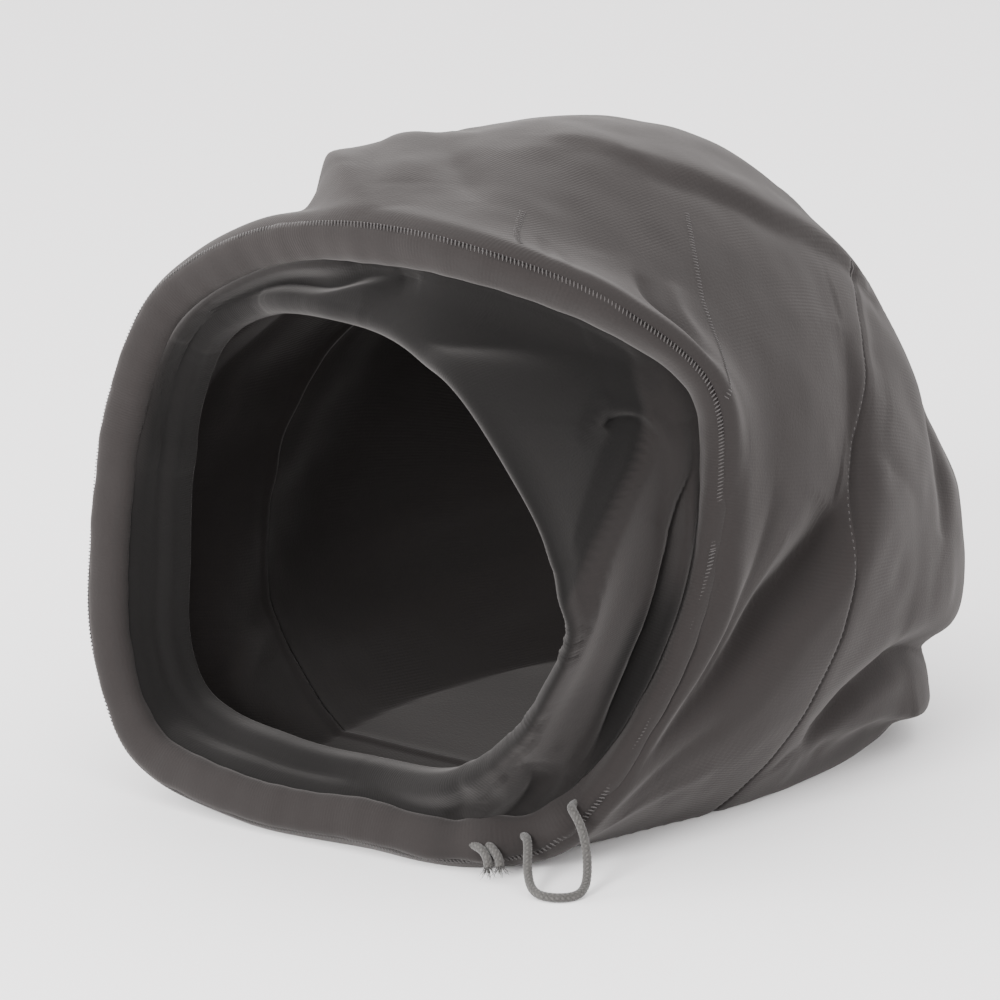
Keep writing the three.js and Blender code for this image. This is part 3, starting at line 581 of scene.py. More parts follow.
class BagForm:
    """The bag's surfaces, worked out from its sizes and tables in the row frame."""

    def __init__(self, sizes):
        self.s = sizes
        self.read_mouth = SmoothTable(MOUTH, around=True)
        self.read_lip = SmoothTable(LIP, around=True)
        self.read_section = SmoothTable(SECTIONS)
        self.read_way = SmoothTable(WAY_BACK)
        self.read_seam = SmoothTable(SEAM, around=True)
        self.front = SECTIONS[0][0] * sizes.bag_depth
        cos, sin = math.cos(sizes.hem_tilt), math.sin(sizes.hem_tilt)
        reach = sizes.hem_width * cos + sizes.hem_thickness * sin
        self.seat = sizes.cloth + sizes.gap + reach / 2
        self.shift = np.zeros(3)
        self.shift[:2] = self.centring()

    def centring(self):
        """The step in x and y from the tables' own frame to the row frame."""
        sides, turns = np.meshgrid(np.arange(0, 360, 36) + 18.0, np.arange(0, 360, 3.0))
        rim = self.hem(sides.ravel(), turns.ravel())
        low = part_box("drawstring_hem")[0]
        return low[0] - rim[:, 0].min(), low[1] - rim[:, 1].min()

    def seam(self, turn):
        """Place of the rear seam along the cloth."""
        return self.read_seam(turn)[0]

    def ring(self, turn):
        """Middle of the hem."""
        across, up, back = self.read_mouth(turn)
        s = self.s
        points = np.stack([
            across * s.mouth_width,
            self.front + back * s.mouth_lean,
            self.seat + up * s.mouth_rise,
        ], -1)
        return points + self.shift

    def ring_frame(self, turn):
        """Centre, direction along, directions inward, across the width and through the hem."""
        centre = self.ring(turn)
        along = unit(self.ring(turn + 0.5) - self.ring(turn - 0.5))
        front = np.zeros_like(centre)
        front[..., 1] = -1
        front = unit(front - along * dot(front, along)[..., None])
        inward = unit(np.cross(front, along))
        cos, sin = math.cos(self.s.hem_tilt), math.sin(self.s.hem_tilt)
        return centre, along, inward, inward * cos - front * sin, front * cos + inward * sin

    def pace(self, turn):
        """Metres along the hem for each degree."""
        turn = np.asarray(turn, float)
        return np.linalg.norm(self.ring(turn + 0.5) - self.ring(turn - 0.5), axis=-1)

    def plain(self, along, turn):
        """Outside of the body before its folds; the base lies flat on the floor."""
        s = self.s
        depth, keep, puff = self.read_way(along)
        centre, _, inward, width, _ = self.ring_frame(turn)
        edge = centre - width * (s.hem_width / 2 + s.gap)
        back = self.front + s.bag_depth + self.shift[1]
        y = edge[..., 1] + (back - edge[..., 1]) * depth
        edge = edge - inward * (puff * s.hem_thickness)[..., None]
        section = self.read_section((y - self.shift[1]) / s.bag_depth)
        near, far, top, waist, sink, crown, base = section
        angle = np.radians(turn)
        power = 2 / np.where(np.sin(angle) > 0, crown, base)
        across = signed_power(np.cos(angle), power)
        rise = signed_power(np.sin(angle), power)
        half = np.where(across > 0, near, far) * s.bag_width / 2
        height = np.where(rise > 0, top - waist, waist + sink)
        x = half * across + self.shift[0]
        z = (waist + height * rise) * s.bag_height
        return np.stack([
            x + (edge[..., 0] - x) * keep,
            y,
            np.maximum(0, z + (edge[..., 2] - z) * keep),
        ], -1)

    def facing_plain(self, along, turn):
        """The facing before its folds, from the hem over the lip to its rolled edge."""
        s = self.s
        centre, _, inward, width, _ = self.ring_frame(turn)
        across, up, back, recess = self.read_lip(turn)
        edge = centre + width * (s.hem_width / 2 - s.cloth)
        lip = np.stack([
            across * s.opening_width,
            self.front + back * s.mouth_lean,
            self.seat + up * s.opening_rise,
        ], -1) + self.shift
        behind = np.array([0.0, 1.0, 0.0])
        sag = (recess * s.fold_depth)[..., None]
        belly = edge + (lip - edge) * 0.3 + inward * 0.8 * sag + behind * 0.3 * sag
        tuck = lip + behind * 0.3 * s.facing_roll + inward * 0.4 * s.facing_roll
        end = lip + behind * s.facing_roll + inward * 0.45 * s.facing_roll
        return centripetal_curve([edge, belly, lip, tuck, end], along)

    def hem(self, side, turn):
        """Surface of the hem at an angle round its section."""
        s = self.s
        centre, _, _, width, thick = self.ring_frame(turn)
        angle = np.radians(side)
        return (
            centre
            + width * (s.hem_width / 2 * signed_power(np.cos(angle), 0.8))[..., None]
            + thick * (s.hem_thickness / 2 * signed_power(np.sin(angle), 0.8))[..., None]
        )


def surface_normals(place, along, turn):
    """Outward directions of a surface that is given by a function of along and turn."""
    step = np.clip(np.minimum(1 - along, along), 0.002, 0.01)
    down = place(along + step, turn) - place(along - step, turn)
    round_ = place(along, turn + 1.5) - place(along, turn - 1.5)
    normals = unit(np.cross(down, round_))
    normals[along > 0.999] = (0, 1, 0)
    return normals


def fold_push(points, normals, rows, place, sizes):
    """How far each point is pushed out by the folds of a table."""
    push = np.zeros(len(points))
    for depth, left, right, path in rows:
        samples = smooth_line(place(*np.array(path, float).T), FOLD_SAMPLES)
        tangents = unit(np.gradient(samples, axis=0))
        margin = FOLD_MARGIN * max(left, right) * sizes.fold_width
        inside = (points > samples.min(0) - margin) & (points < samples.max(0) + margin)
        near = np.where(inside.all(-1))[0]
        away = points[near, None] - samples[None]
        closest = (away**2).sum(-1).argmin(1)
        away = away[np.arange(len(near)), closest]
        side = dot(away, np.cross(tangents[closest], normals[near]))
        reach = np.where(side > 0, left, right) * sizes.fold_width
        radius = np.linalg.norm(away, axis=-1) / reach
        taper = np.sin(math.pi * (closest + 1) / (FOLD_SAMPLES + 1)) ** FOLD_FADE
        power = BROAD_POWER if min(left, right) > BROAD_FOLD else NARROW_POWER
        push[near] += depth * sizes.fold_depth * taper * np.exp(-(radius**power))
    return push


def run_lengths(points):
    """Length of a line of points up to each of them."""
    steps = np.linalg.norm(np.diff(points, axis=0), axis=1)
    return np.concatenate([[0], np.cumsum(steps)])


def soft_noise(points, size, seed):
    """Smooth noise of a given grain at each point."""
    offset = Vector((seed, 2.3 * seed, -1.7 * seed))
    return np.array([noise.noise(Vector(p) / size + offset) for p in points])


def body_place(form):
    """The body's surface with all its folds, as a function of along and turn."""
    def place(along, turn):
        points = form.plain(along, turn)
        normals = surface_normals(form.plain, along, turn)
        keep = form.read_way(along)[1]
        free = smoothstep(points[:, 2], 0, form.s.fold_width) * (1 - HEM_HOLD * keep)
        free *= 1 - smoothstep(along, BACK_FADE, 1)
        push = fold_push(points, normals, BODY_FOLDS, form.plain, form.s)
        for height, grain, seed in BODY_GRAIN:
            push += height * soft_noise(points, grain, seed)
        from_taut = np.abs(np.mod(turn - TAUT_TURN + 180, 360) - 180)
        slack = TAUT_SLACK + (1 - TAUT_SLACK) * smoothstep(from_taut, *TAUT_REACH)
        slack = np.maximum(slack, smoothstep(along, *TAUT_BACK))
        for height, stretch, grain, seed in SLACK_GRAIN:
            push += height * slack * soft_noise(points * stretch, grain, seed)
        groove = SEAM_GROOVE * bell(along, form.seam(turn), 2 * SEAM_LAP)
        points = points + normals * (free * push - groove)[:, None]
        points[:, 2] = np.maximum(points[:, 2], 0)
        return points
    return place


def facing_place(form):
    """The facing's surface with its folds; the roll behind the lip moves with the lip."""
    def place(along, turn):
        front = np.minimum(along, LIP_AT)
        points = form.facing_plain(front, turn)
        normals = -surface_normals(form.facing_plain, front, turn)
        push = fold_push(points, normals, FACING_FOLDS, form.facing_plain, form.s)
        height, grain, seed = FACING_GRAIN
        push += height * soft_noise(points, grain, seed)
        free = smoothstep(along, 0, FACING_FREE)
        return form.facing_plain(along, turn) + normals * (free * push)[:, None]
    return place


def show_as_piece(obj, name, slot, material, *nodes):
    """Names a finished piece, gives it its finish, attaches it to the body and hides the parts that it
    stands for.
    """
    obj.name = name
    obj.data.name = name
    obj.data.materials.clear()
    obj.data.materials.append(material)
    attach(obj, BODY)
    if nodes:
        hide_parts(*nodes)


def object_from(bm, name):
    """A new object of a bmesh, in the scene and shaded smooth."""
    mesh = bpy.data.meshes.new(name)
    bm.to_mesh(mesh)
    bm.free()
    mesh.polygons.foreach_set("use_smooth", [True] * len(mesh.polygons))
    obj = bpy.data.objects.new(name, mesh)
    bpy.context.scene.collection.objects.link(obj)
    return obj


def shaped_grid(columns, rows, place, size):
    """A grid whose points are moved to a surface, closed round its columns.

    place takes the places down the rows, from 0 to 1, and the turns of the columns; size
    gives the lengths of the UV map in metres, round and down. Each point keeps its place down
    the rows.
    """
    bm = bmesh.new()
    uv = bm.loops.layers.uv.new("UVMap")
    bmesh.ops.create_grid(bm, x_segments=columns, y_segments=rows, size=0.5)
    down = bm.verts.layers.float.new("down")
    shares = np.array([vert.co[:2] for vert in bm.verts]) + 0.5
    turns = near_side_turn(shares[:, 0])
    points = place(shares[:, 1], turns)
    bm.verts.index_update()
    for face in bm.faces:
        for loop in face.loops:
            index = loop.vert.index
            loop[uv].uv = (turns[index] / 360 * size[0], shares[index, 1] * size[1])
    for vert, point, share in zip(bm.verts, points, shares[:, 1]):
        vert.co = point
        vert[down] = share
    bmesh.ops.remove_doubles(bm, verts=bm.verts, dist=1e-6)
    return bm


def turn_outwards(bm, centre):
    """Turns an open shell so that its faces look away from a point."""
    bm.normal_update()
    outwards = sum(
        face.normal.dot(face.calc_center_median() - centre) * face.calc_area() for face in bm.faces
    )
    if outwards < 0:
        bmesh.ops.reverse_faces(bm, faces=bm.faces)


def near_side_turn(share):
    """Turn for a share of the columns, with closer columns on the near side."""
    return 360 * share - 170 + 14 * np.sin(2 * math.pi * share)


def back_cloth(obj, thickness, offset=-1):
    """Gives a cloth its thickness, on the inside or, with offset 0, on both sides."""
    wall = obj.modifiers.new("Cloth", "SOLIDIFY")
    wall.thickness = thickness
    wall.offset = offset
    wall.use_even_offset = False


class Wire:
    """A shader value whose arithmetic adds Math nodes."""

    def __init__(self, finish, socket):
        self.finish = finish
        self.socket = socket

    def math(self, operation, *others):
        """A Math node of this value and others."""
        return self.finish.node("ShaderNodeMath", {"operation": operation}, [self, *others])

    def __add__(self, other):
        return self.math("ADD", other)

    def __sub__(self, other):
        return self.math("SUBTRACT", other)

    def __rsub__(self, other):
        return self.math("MULTIPLY", -1).math("ADD", other)

    def __mul__(self, other):
        return self.math("MULTIPLY", other)

    __radd__ = __add__
    __rmul__ = __mul__


class Finish:
    """One material, with a method that adds any node to it."""

    def __init__(self, name, roughness, sheen=0.0, sheen_tint=(1, 1, 1)):
        self.material = bpy.data.materials.new(name)
        self.material.use_nodes = True
        self.tree = self.material.node_tree
        self.shader = self.tree.nodes["Principled BSDF"]
        self.shader.inputs["Roughness"].default_value = roughness
        self.shader.inputs["Sheen Weight"].default_value = sheen
        self.shader.inputs["Sheen Roughness"].default_value = SHEEN_ROUGHNESS
        self.shader.inputs["Sheen Tint"].default_value = (*sheen_tint, 1)
        self.shader.inputs["Specular IOR Level"].default_value = GLOSS

    def node(self, kind, settings, inputs, output=0):
        """A node of a kind, its settings first, then the values or wires of its sockets."""
        node = self.tree.nodes.new(kind)
        for key, value in settings.items():
            setattr(node, key, value)
        pairs = inputs.items() if isinstance(inputs, dict) else enumerate(inputs)
        for key, value in pairs:
            self.join(value, node.inputs[key])
        return Wire(self, node.outputs[output])

    def join(self, value, socket):
        """Links a wire to a socket, or sets the socket to a number or colour."""
        if isinstance(value, Wire):
            self.tree.links.new(value.socket, socket)
        elif hasattr(value, "__len__") and len(socket.default_value) == len(value) + 1:
            socket.default_value = (*value, 1)
        else:
            socket.default_value = value

    def set(self, name, value):
        """Gives the shader's own socket a value or wire."""
        self.join(value, self.shader.inputs[name])

    def mix_colours(self, factor, first, second):
        """The first colour where factor is 0, and the second where it is 1."""
        sockets = {0: factor, 6: first, 7: second}
        return self.node("ShaderNodeMix", {"data_type": "RGBA"}, sockets, output=2)

    def where(self):
        """Places in the object's own coordinates."""
        return self.node("ShaderNodeTexCoord", {}, {}, output=3)

    def attribute(self, name):
        """A value that the piece keeps at each of its points."""
        return self.node("ShaderNodeAttribute", {"attribute_name": name}, {}, output=2)

    def noise(self, where, scale, detail):
        """Noise with scale grains to the metre."""
        sockets = {"Vector": where, "Scale": scale, "Detail": detail}
        return self.node("ShaderNodeTexNoise", {}, sockets)

    def bump(self, height, distance):
        """Normals of a surface that is raised by height, at most distance metres."""
        sockets = {"Height": height, "Distance": distance, "Strength": 1.0}
        return self.node("ShaderNodeBump", {}, sockets)


def knit_finish(name, light, dark, sizes, rib_height, turned=None):
    """Brushed knit: fine ribs along the cloth, soft fuzz and slow changes of tone.

    turned gives the two colours of the part that shows the cloth's outer face.
    """
    finish = Finish(name, 0.97, sheen=0.12, sheen_tint=(0.9, 0.86, 0.84))
    where = finish.where()
    uv = finish.node("ShaderNodeUVMap", {"uv_map": "UVMap"}, {})
    around = finish.node("ShaderNodeSeparateXYZ", {}, [uv])
    down = Wire(finish, around.socket.node.outputs[1])
    rib = (around * (2 * math.pi / sizes.rib_pitch)).math("SINE")
    loop = (down * (2 * math.pi / (1.3 * sizes.rib_pitch)) + rib).math("SINE")
    # The ribs show in patches, and are nearly worn away between them
    patches = finish.noise(where, PATCH_GRAIN, 3) * 4.0 - 1.6
    patches = patches.math("MINIMUM", 1.0).math("MAXIMUM", 0.12)
    fuzz = finish.noise(where, FUZZ_GRAIN, 3)
    clouds = finish.noise(where, TONE_GRAIN, 3)
    height = rib * patches * 0.28 + loop * 0.03 + fuzz
    # The ribs also lighten the colour on their crests and darken it in their hollows: painted highlight and
    # painted shade
    tone = clouds * 0.6 + fuzz * 0.5 + rib * patches * 0.1 - 0.05
    tint = finish.mix_colours(tone, dark, light)
    if turned:
        # Where the turned attribute is 1 the outside colours are used; on the facing this leaves off its
        # painted shade
        outside = finish.mix_colours(tone, turned[1], turned[0])
        tint = finish.mix_colours(finish.attribute("turned"), tint, outside)
    finish.set("Base Color", tint)
    finish.set("Normal", finish.bump(height, rib_height))
    return finish.material


def cord_finish(colours):
    """Braided cord: light yarns with dark flecks from a fine grain, and painted shade in the grooves
    between strands, read from the piece's braid attribute.
    """
    finish = Finish("braided_cord", 0.8, sheen=0.2)
    where = finish.where()
    grain = finish.noise(where, CORD_GRAIN, 2)
    # Low braid values, in the grooves between strands, give the dark colour: painted shade
    light = finish.attribute("braid") * 0.85 + grain * 0.25
    finish.set("Base Color", finish.mix_colours(light, colours.cord_flecks_and_groove_shade, colours.cord))
    finish.set("Normal", finish.bump(grain, CORD_BUMP))
    return finish.material


def thread_finish(colours):
    """Sewing thread with a fine twist."""
    finish = Finish("thread", 0.7, sheen=0.2)
    where = finish.where()
    grain = finish.noise(where, THREAD_GRAIN, 2)
    dark = tuple(THREAD_TONE * c for c in colours.thread)
    finish.set("Base Color", finish.mix_colours(grain, dark, colours.thread))
    return finish.material


def finishes():
    """The materials, made once and then found by name."""
    if "brushed_knit" not in bpy.data.materials:
        sizes, colours = bpy.context.scene.bag_sizes, bpy.context.scene.bag_colours
        cloth = (colours.cloth, colours.cloth_dark)
        # The facing's colours carry painted shade of the inside of the mouth; its flap and rim take the
        # cloth's colour instead
        facing = (colours.facing, colours.shaded_facing_dark)
        outside = [tuple(OUTSIDE_TONE * c for c in tint) for tint in cloth]
        knit_finish("brushed_knit", *cloth, sizes, CLOTH_BUMP)
        knit_finish("shaded_facing_knit", *facing, sizes, FACING_BUMP, outside)
        cord_finish(colours)
        thread_finish(colours)
    return bpy.data.materials


def round_length(form):
    """Length round the bag's widest part, a whole number of ribs."""
    ribs = round(math.pi * (form.s.bag_width + form.s.bag_height) / 2 / form.s.rib_pitch)
    return ribs * form.s.rib_pitch


class BAG_OT_camera(bpy.types.Operator):
    """Set the camera at the photograph's angle"""

    bl_idname = "helmet_bag.camera"
    bl_label = "Camera"

    def execute(self, context):
        form = BagForm(context.scene.bag_sizes)
        azimuth, elevation = math.radians(CAMERA_AZIMUTH), math.radians(CAMERA_ELEVATION)
        away = Vector((
            math.sin(azimuth) * math.cos(elevation),
            -math.cos(azimuth) * math.cos(elevation),
            math.sin(elevation),
        ))
        aim = Vector((form.shift[0], form.shift[1], CAMERA_AIM))
        data = bpy.data.cameras.new("camera")
        data.lens = CAMERA_LENS
        data.clip_start = 0.05
        camera = bpy.data.objects.new("camera", data)
        camera.location = aim + away * CAMERA_DISTANCE
        camera.rotation_euler = (-away).to_track_quat("-Z", "Y").to_euler()
        context.scene.collection.objects.link(camera)
        context.scene.camera = camera
        return {"FINISHED"}


def spline_points(guides, each):
    """Points of a cubic spline that runs along its guides and starts and ends on them."""
    guides = np.asarray(guides, float)
    every = np.vstack([2 * guides[0] - guides[1], guides, 2 * guides[-1] - guides[-2]])
    points = []
    for first in range(len(every) - 3):
        for k in range(each):
            t = k / each
            second, third = 3 * t**3 - 6 * t**2 + 4, -3 * t**3 + 3 * t**2 + 3 * t + 1
            weights = ((1 - t) ** 3, second, third, t**3)
            points.append(sum(w * p for w, p in zip(weights, every[first:first + 4])) / 6)
    points.append(guides[-1])
    return np.array(points)


def loop_line(form):
    """Middle line of the free loop."""
    ends = form.ring(np.array([LOOP_LEAVES, LOOP_RETURNS]))
    share = np.linspace(0, 1, len(LOOP_ROUTE))[:, None]
    guides = ends[0] + (ends[1] - ends[0]) * share + np.array(LOOP_ROUTE) * 0.001
    rest = form.s.cord / 2 + form.s.gap / 3
    guides[:, 2] = np.maximum(guides[:, 2], rest)
    return spline_points(guides, LOOP_STEPS)


def exit_line(form, turn, side):
    """Middle line of a cord end, from inside the hem out through its slit."""
    s = form.s
    points = []
    for travel, rise, drop in CORD_EXIT:
        at = turn + side * travel * s.cord_bend / form.pace(turn)
        centre, ring_way, _, width, thick = form.ring_frame(np.array([at]))
        lean = ring_way * (rise**2) * END_LEAN
        points.append((centre + lean + thick * rise * s.cord_bend - width * drop * s.cord_bend)[0])
    return smooth_line(points, END_POINTS)


def even_steps(line, step):
    """The line's points again, an even step apart."""
    lengths = run_lengths(line)
    count = max(4, round(lengths[-1] / step))
    at = np.linspace(0, lengths[-1], count + 1)
    return np.stack([np.interp(at, lengths, line[:, k]) for k in range(3)], -1), lengths[-1]


def line_frames(points):
    """Two directions across a line at each point, without twist."""
    tangents = unit(np.gradient(points, axis=0))
    across = unit(np.cross(tangents[0], (0.3, 0.2, 0.9)))
    first = [across]
    for tangent in tangents[1:]:
        across = unit(across - tangent * np.dot(across, tangent))
        first.append(across)
    first = np.array(first)
    return tangents, first, np.cross(tangents, first)


def braided_tube(name, line, diameter):
    """A braided cord along a line, with the braid's height kept as an attribute."""
    points, length = even_steps(line, BRAID_STEP)
    _, first, second = line_frames(points)

    bm = bmesh.new()
    bm.loops.layers.uv.new("UVMap")
    rows = len(points) - 1
    bmesh.ops.create_grid(bm, x_segments=BRAID_SIDES, y_segments=rows, size=0.5, calc_uvs=True)
    layer = bm.verts.layers.float.new("braid")
    around, down = (np.array([vert.co[:2] for vert in bm.verts]) + 0.5).T
    along = down * length / BRAID_PITCH
    left = BRAID_STRANDS * (around - along)
    right = BRAID_STRANDS * (around + along)
    over = (np.floor(left) + np.floor(right)) % 2 == 0
    height = np.abs(np.sin(math.pi * np.where(over, left, right)))
    radius = diameter / 2 * (BRAID_CORE + (1 - BRAID_CORE) * height**0.6)
    row = np.round(down * rows).astype(int)
    angle = around * 2 * math.pi
    places = (
        points[row]
        + first[row] * (np.cos(angle) * radius)[:, None]
        + second[row] * (np.sin(angle) * radius)[:, None]
    )
    # The braid attribute follows the strands' height, so the cord's colour is darkest in the grooves
    # between them: painted shade
    tones = height * np.where(over, 1.0, BRAID_SHADE)
    for vert, point, tone in zip(bm.verts, places, tones):
        vert.co = point
        vert[layer] = tone
    bmesh.ops.remove_doubles(bm, verts=bm.verts, dist=1e-6)
    edges = [edge for edge in bm.edges if edge.is_boundary]
    bmesh.ops.holes_fill(bm, edges=edges, sides=BRAID_SIDES + 4)
    bmesh.ops.recalc_face_normals(bm, faces=bm.faces)
    return object_from(bm, name), points, length


class BAG_OT_cord(bpy.types.Operator):
    """Make the drawstring's free loop and its two frayed ends, and finish its held run"""

    bl_idname = "helmet_bag.cord"
    bl_label = "Drawstring"

    def execute(self, context):
        sizes = context.scene.bag_sizes
        form = BagForm(sizes)
        material = finishes()["braided_cord"]
        loop, path, length = braided_tube("cord_loop", loop_line(form), sizes.cord)
        show_as_piece(loop, "cord_loop", "cord", material, "drawstring_loop")
        [tuple(point) for point in path[::PATH_EVERY]] + [tuple(path[-1])]
        random.seed(sizes.seed)
        ends = (("first", FIRST_END, 1), ("second", SECOND_END, -1))
        for word, turn, side in ends:
            line = exit_line(form, turn, side)
            end, path, _ = braided_tube(f"{word}_end", line, sizes.cord)
            show_as_piece(end, f"{word}_end", "cord", material, f"{word}_cord_end")
            tuft = self.frayed(form, path)
            show_as_piece(tuft, f"{word}_fray", "cord", material)
        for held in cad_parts["drawstring_run"].material_slots:
            held.material = material
        return {"FINISHED"}

    def frayed(self, form, path):
        """Loose yarns that stand out of a cut end."""
        tangents, first, second = line_frames(path)
        tip, ahead, across, over = (
            Vector(v) for v in (path[-1], tangents[-1], first[-1], second[-1])
        )
        radius = form.s.cord / 2
        bm = bmesh.new()
        for _ in range(FRAY_YARNS):
            angle = random.uniform(0, 2 * math.pi)
            out = across * math.cos(angle) + over * math.sin(angle)
            start = tip - ahead * FRAY_ROOT + out * radius * random.uniform(*FRAY_INSIDE)
            reach = random.uniform(*FRAY_LENGTH)
            spread = random.uniform(*FRAY_SPREAD)
            bend = Vector((
                random.uniform(-1, 1),
                random.uniform(-1, 1),
                random.uniform(-1, 0.4),
            )) * FRAY_BEND
            ring = None
            for k in range(FRAY_ROWS):
                share = k / (FRAY_ROWS - 1)
                centre = start + (ahead * share + (out * spread + bend) * share**2) * reach
                centre.z = max(centre.z, FRAY_FLOOR)
                thick = FRAY_THICKNESS * (1 - FRAY_TAPER * share)
                made = [
                    bm.verts.new(centre + (across * math.cos(a) + over * math.sin(a)) * thick)
                    for a in FRAY_CORNERS
                ]
                if ring:
                    for i in range(3):
                        bm.faces.new((ring[i], ring[(i + 1) % 3], made[(i + 1) % 3], made[i]))
                ring = made
        bmesh.ops.recalc_face_normals(bm, faces=bm.faces)
        layer = bm.verts.layers.float.new("braid")
        for vert in bm.verts:
            vert[layer] = FRAY_TONE
        return object_from(bm, "fray")


class BAG_OT_body(bpy.types.Operator):
    """Make the front and rear cloth of the sack"""

    bl_idname = "helmet_bag.body"
    bl_label = "Body Cloth"

    def execute(self, context):
        sizes = context.scene.bag_sizes
        form = BagForm(sizes)
        place = body_place(form)
        material = finishes()["brushed_knit"]
        around = round_length(form)

        def front(down, turn):
            return place(down * (form.seam(turn) + SEAM_LAP), turn)

        def rear(down, turn):
            start = form.seam(turn) - SEAM_LAP
            return place(start + (1 - start) * down, turn)

        for name, rows, shape, node in (
            ("front_cloth", FRONT_ROWS, front, "front_panel"),
            ("rear_cloth", REAR_ROWS, rear, "rear_panel"),
        ):
            bm = shaped_grid(BODY_COLUMNS, rows, shape, (around, rows * BODY_ROW))
            turn_outwards(bm, Vector(BODY_MIDDLE))
            piece = object_from(bm, name)
            back_cloth(piece, sizes.cloth)
            show_as_piece(piece, name, "cloth", material, node)
        return {"FINISHED"}


class BAG_OT_hem(bpy.types.Operator):
    """Make the folded hem round the mouth"""

    bl_idname = "helmet_bag.hem"
    bl_label = "Hem"

    def execute(self, context):
        sizes = context.scene.bag_sizes
        form = BagForm(sizes)

        def place(down, turn):
            side = 360 * down
            points = form.hem(side, turn)
            centre = form.ring(turn)
            out = unit(points - centre)
            near = bell(np.mod(turn + 180, 360), *HEM_NEAR)
            push = np.sin(np.radians(turn * HEM_RIPPLE[0])) * HEM_RIPPLE[1]
            gather = bell(np.mod(turn, 360), *GATHER_AT) * HEM_GATHER[1]
            push += np.sin(np.radians(turn * HEM_GATHER[0])) * gather
            for sign, (middle, width, height) in ((1, RIDGE), (-1, GROOVE)):
                push += sign * height * near * bell(side, middle, width)
            height, grain, seed = HEM_GRAIN
            push += height * soft_noise(points, grain, seed)
            return points + out * push[:, None]

        bm = shaped_grid(*HEM_MESH, place, (round_length(form), HEM_ROUND))
        bmesh.ops.recalc_face_normals(bm, faces=bm.faces)
        hem = object_from(bm, "hem")
        show_as_piece(hem, "hem_band", "hem", finishes()["brushed_knit"], "drawstring_hem")
        return {"FINISHED"}


class BAG_OT_facing(bpy.types.Operator):
    """Make the facing that is turned in from the hem"""

    bl_idname = "helmet_bag.facing"
    bl_label = "Facing"

    def execute(self, context):
        sizes = context.scene.bag_sizes
        form = BagForm(sizes)
        bm = shaped_grid(*FACING_MESH, facing_place(form), (round_length(form), FACING_DOWN))
        self.mark_turned(bm, form)
        facing = object_from(bm, "facing")
        back_cloth(facing, sizes.cloth, offset=0)
        # This material holds the facing's painted shade
        material = finishes()["shaded_facing_knit"]
        show_as_piece(facing, "facing_cloth", "facing", material, "mouth_facing")
        return {"FINISHED"}

    def mark_turned(self, bm, form):
        """Marks the flap and the rim beside the hem, which show the outer face of the cloth; there the
        facing's painted shade is left off.
        """
        points = np.array([vert.co for vert in bm.verts])
        down = bm.verts.layers.float["down"]
        front = 1 - smoothstep(np.array([vert[down] for vert in bm.verts]), *FLAP_END)
        flap = self.inside_of(points, form, FLAP_EDGE, *FLAP_MARK) * front
        rim = self.inside_of(points, form, FACING_RIM, *RIM_MARK)
        layer = bm.verts.layers.float.new("turned")
        for vert, value in zip(bm.verts, np.maximum(flap, rim)):
            vert[layer] = value

    def inside_of(self, points, form, path, reach, soft):
        """1 beside a line, on its right as it runs down the page, and 0 elsewhere."""
        samples = smooth_line(form.facing_plain(*np.array(path, float).T), FOLD_SAMPLES)
        tangents = unit(np.gradient(samples, axis=0))
        away = points[:, None] - samples[None]
        gaps = (away**2).sum(-1)
        closest = gaps.argmin(1)
        away = away[np.arange(len(points)), closest]
        side = dot(away, np.cross(tangents[closest], FLAP_SEEN))
        distance = np.sqrt(gaps[np.arange(len(points)), closest])
        taper = np.sin(math.pi * (closest + 1) / (FOLD_SAMPLES + 1)) ** EDGE_FADE
        beside = smoothstep(-side, -soft, soft)
        return beside * (1 - smoothstep(distance, reach * 0.7, reach)) * taper


def add_stitch(bm, start, end, out, thickness):
    """One stitch: a slim oval from start to end, bowed a little out of the cloth."""
    start, end, out = Vector(start), Vector(end), Vector(out)
    along = (end - start).normalized()
    across = along.cross(out).normalized()
    up = across.cross(along)
    turn = Matrix((along, across, up)).transposed().to_4x4()
    scale = Matrix.Diagonal(((end - start).length / 2, thickness / 2, thickness / 2, 1))
    matrix = Matrix.Translation((start + end) / 2) @ turn @ scale
    bmesh.ops.create_uvsphere(bm, u_segments=6, v_segments=5, radius=1, matrix=matrix)


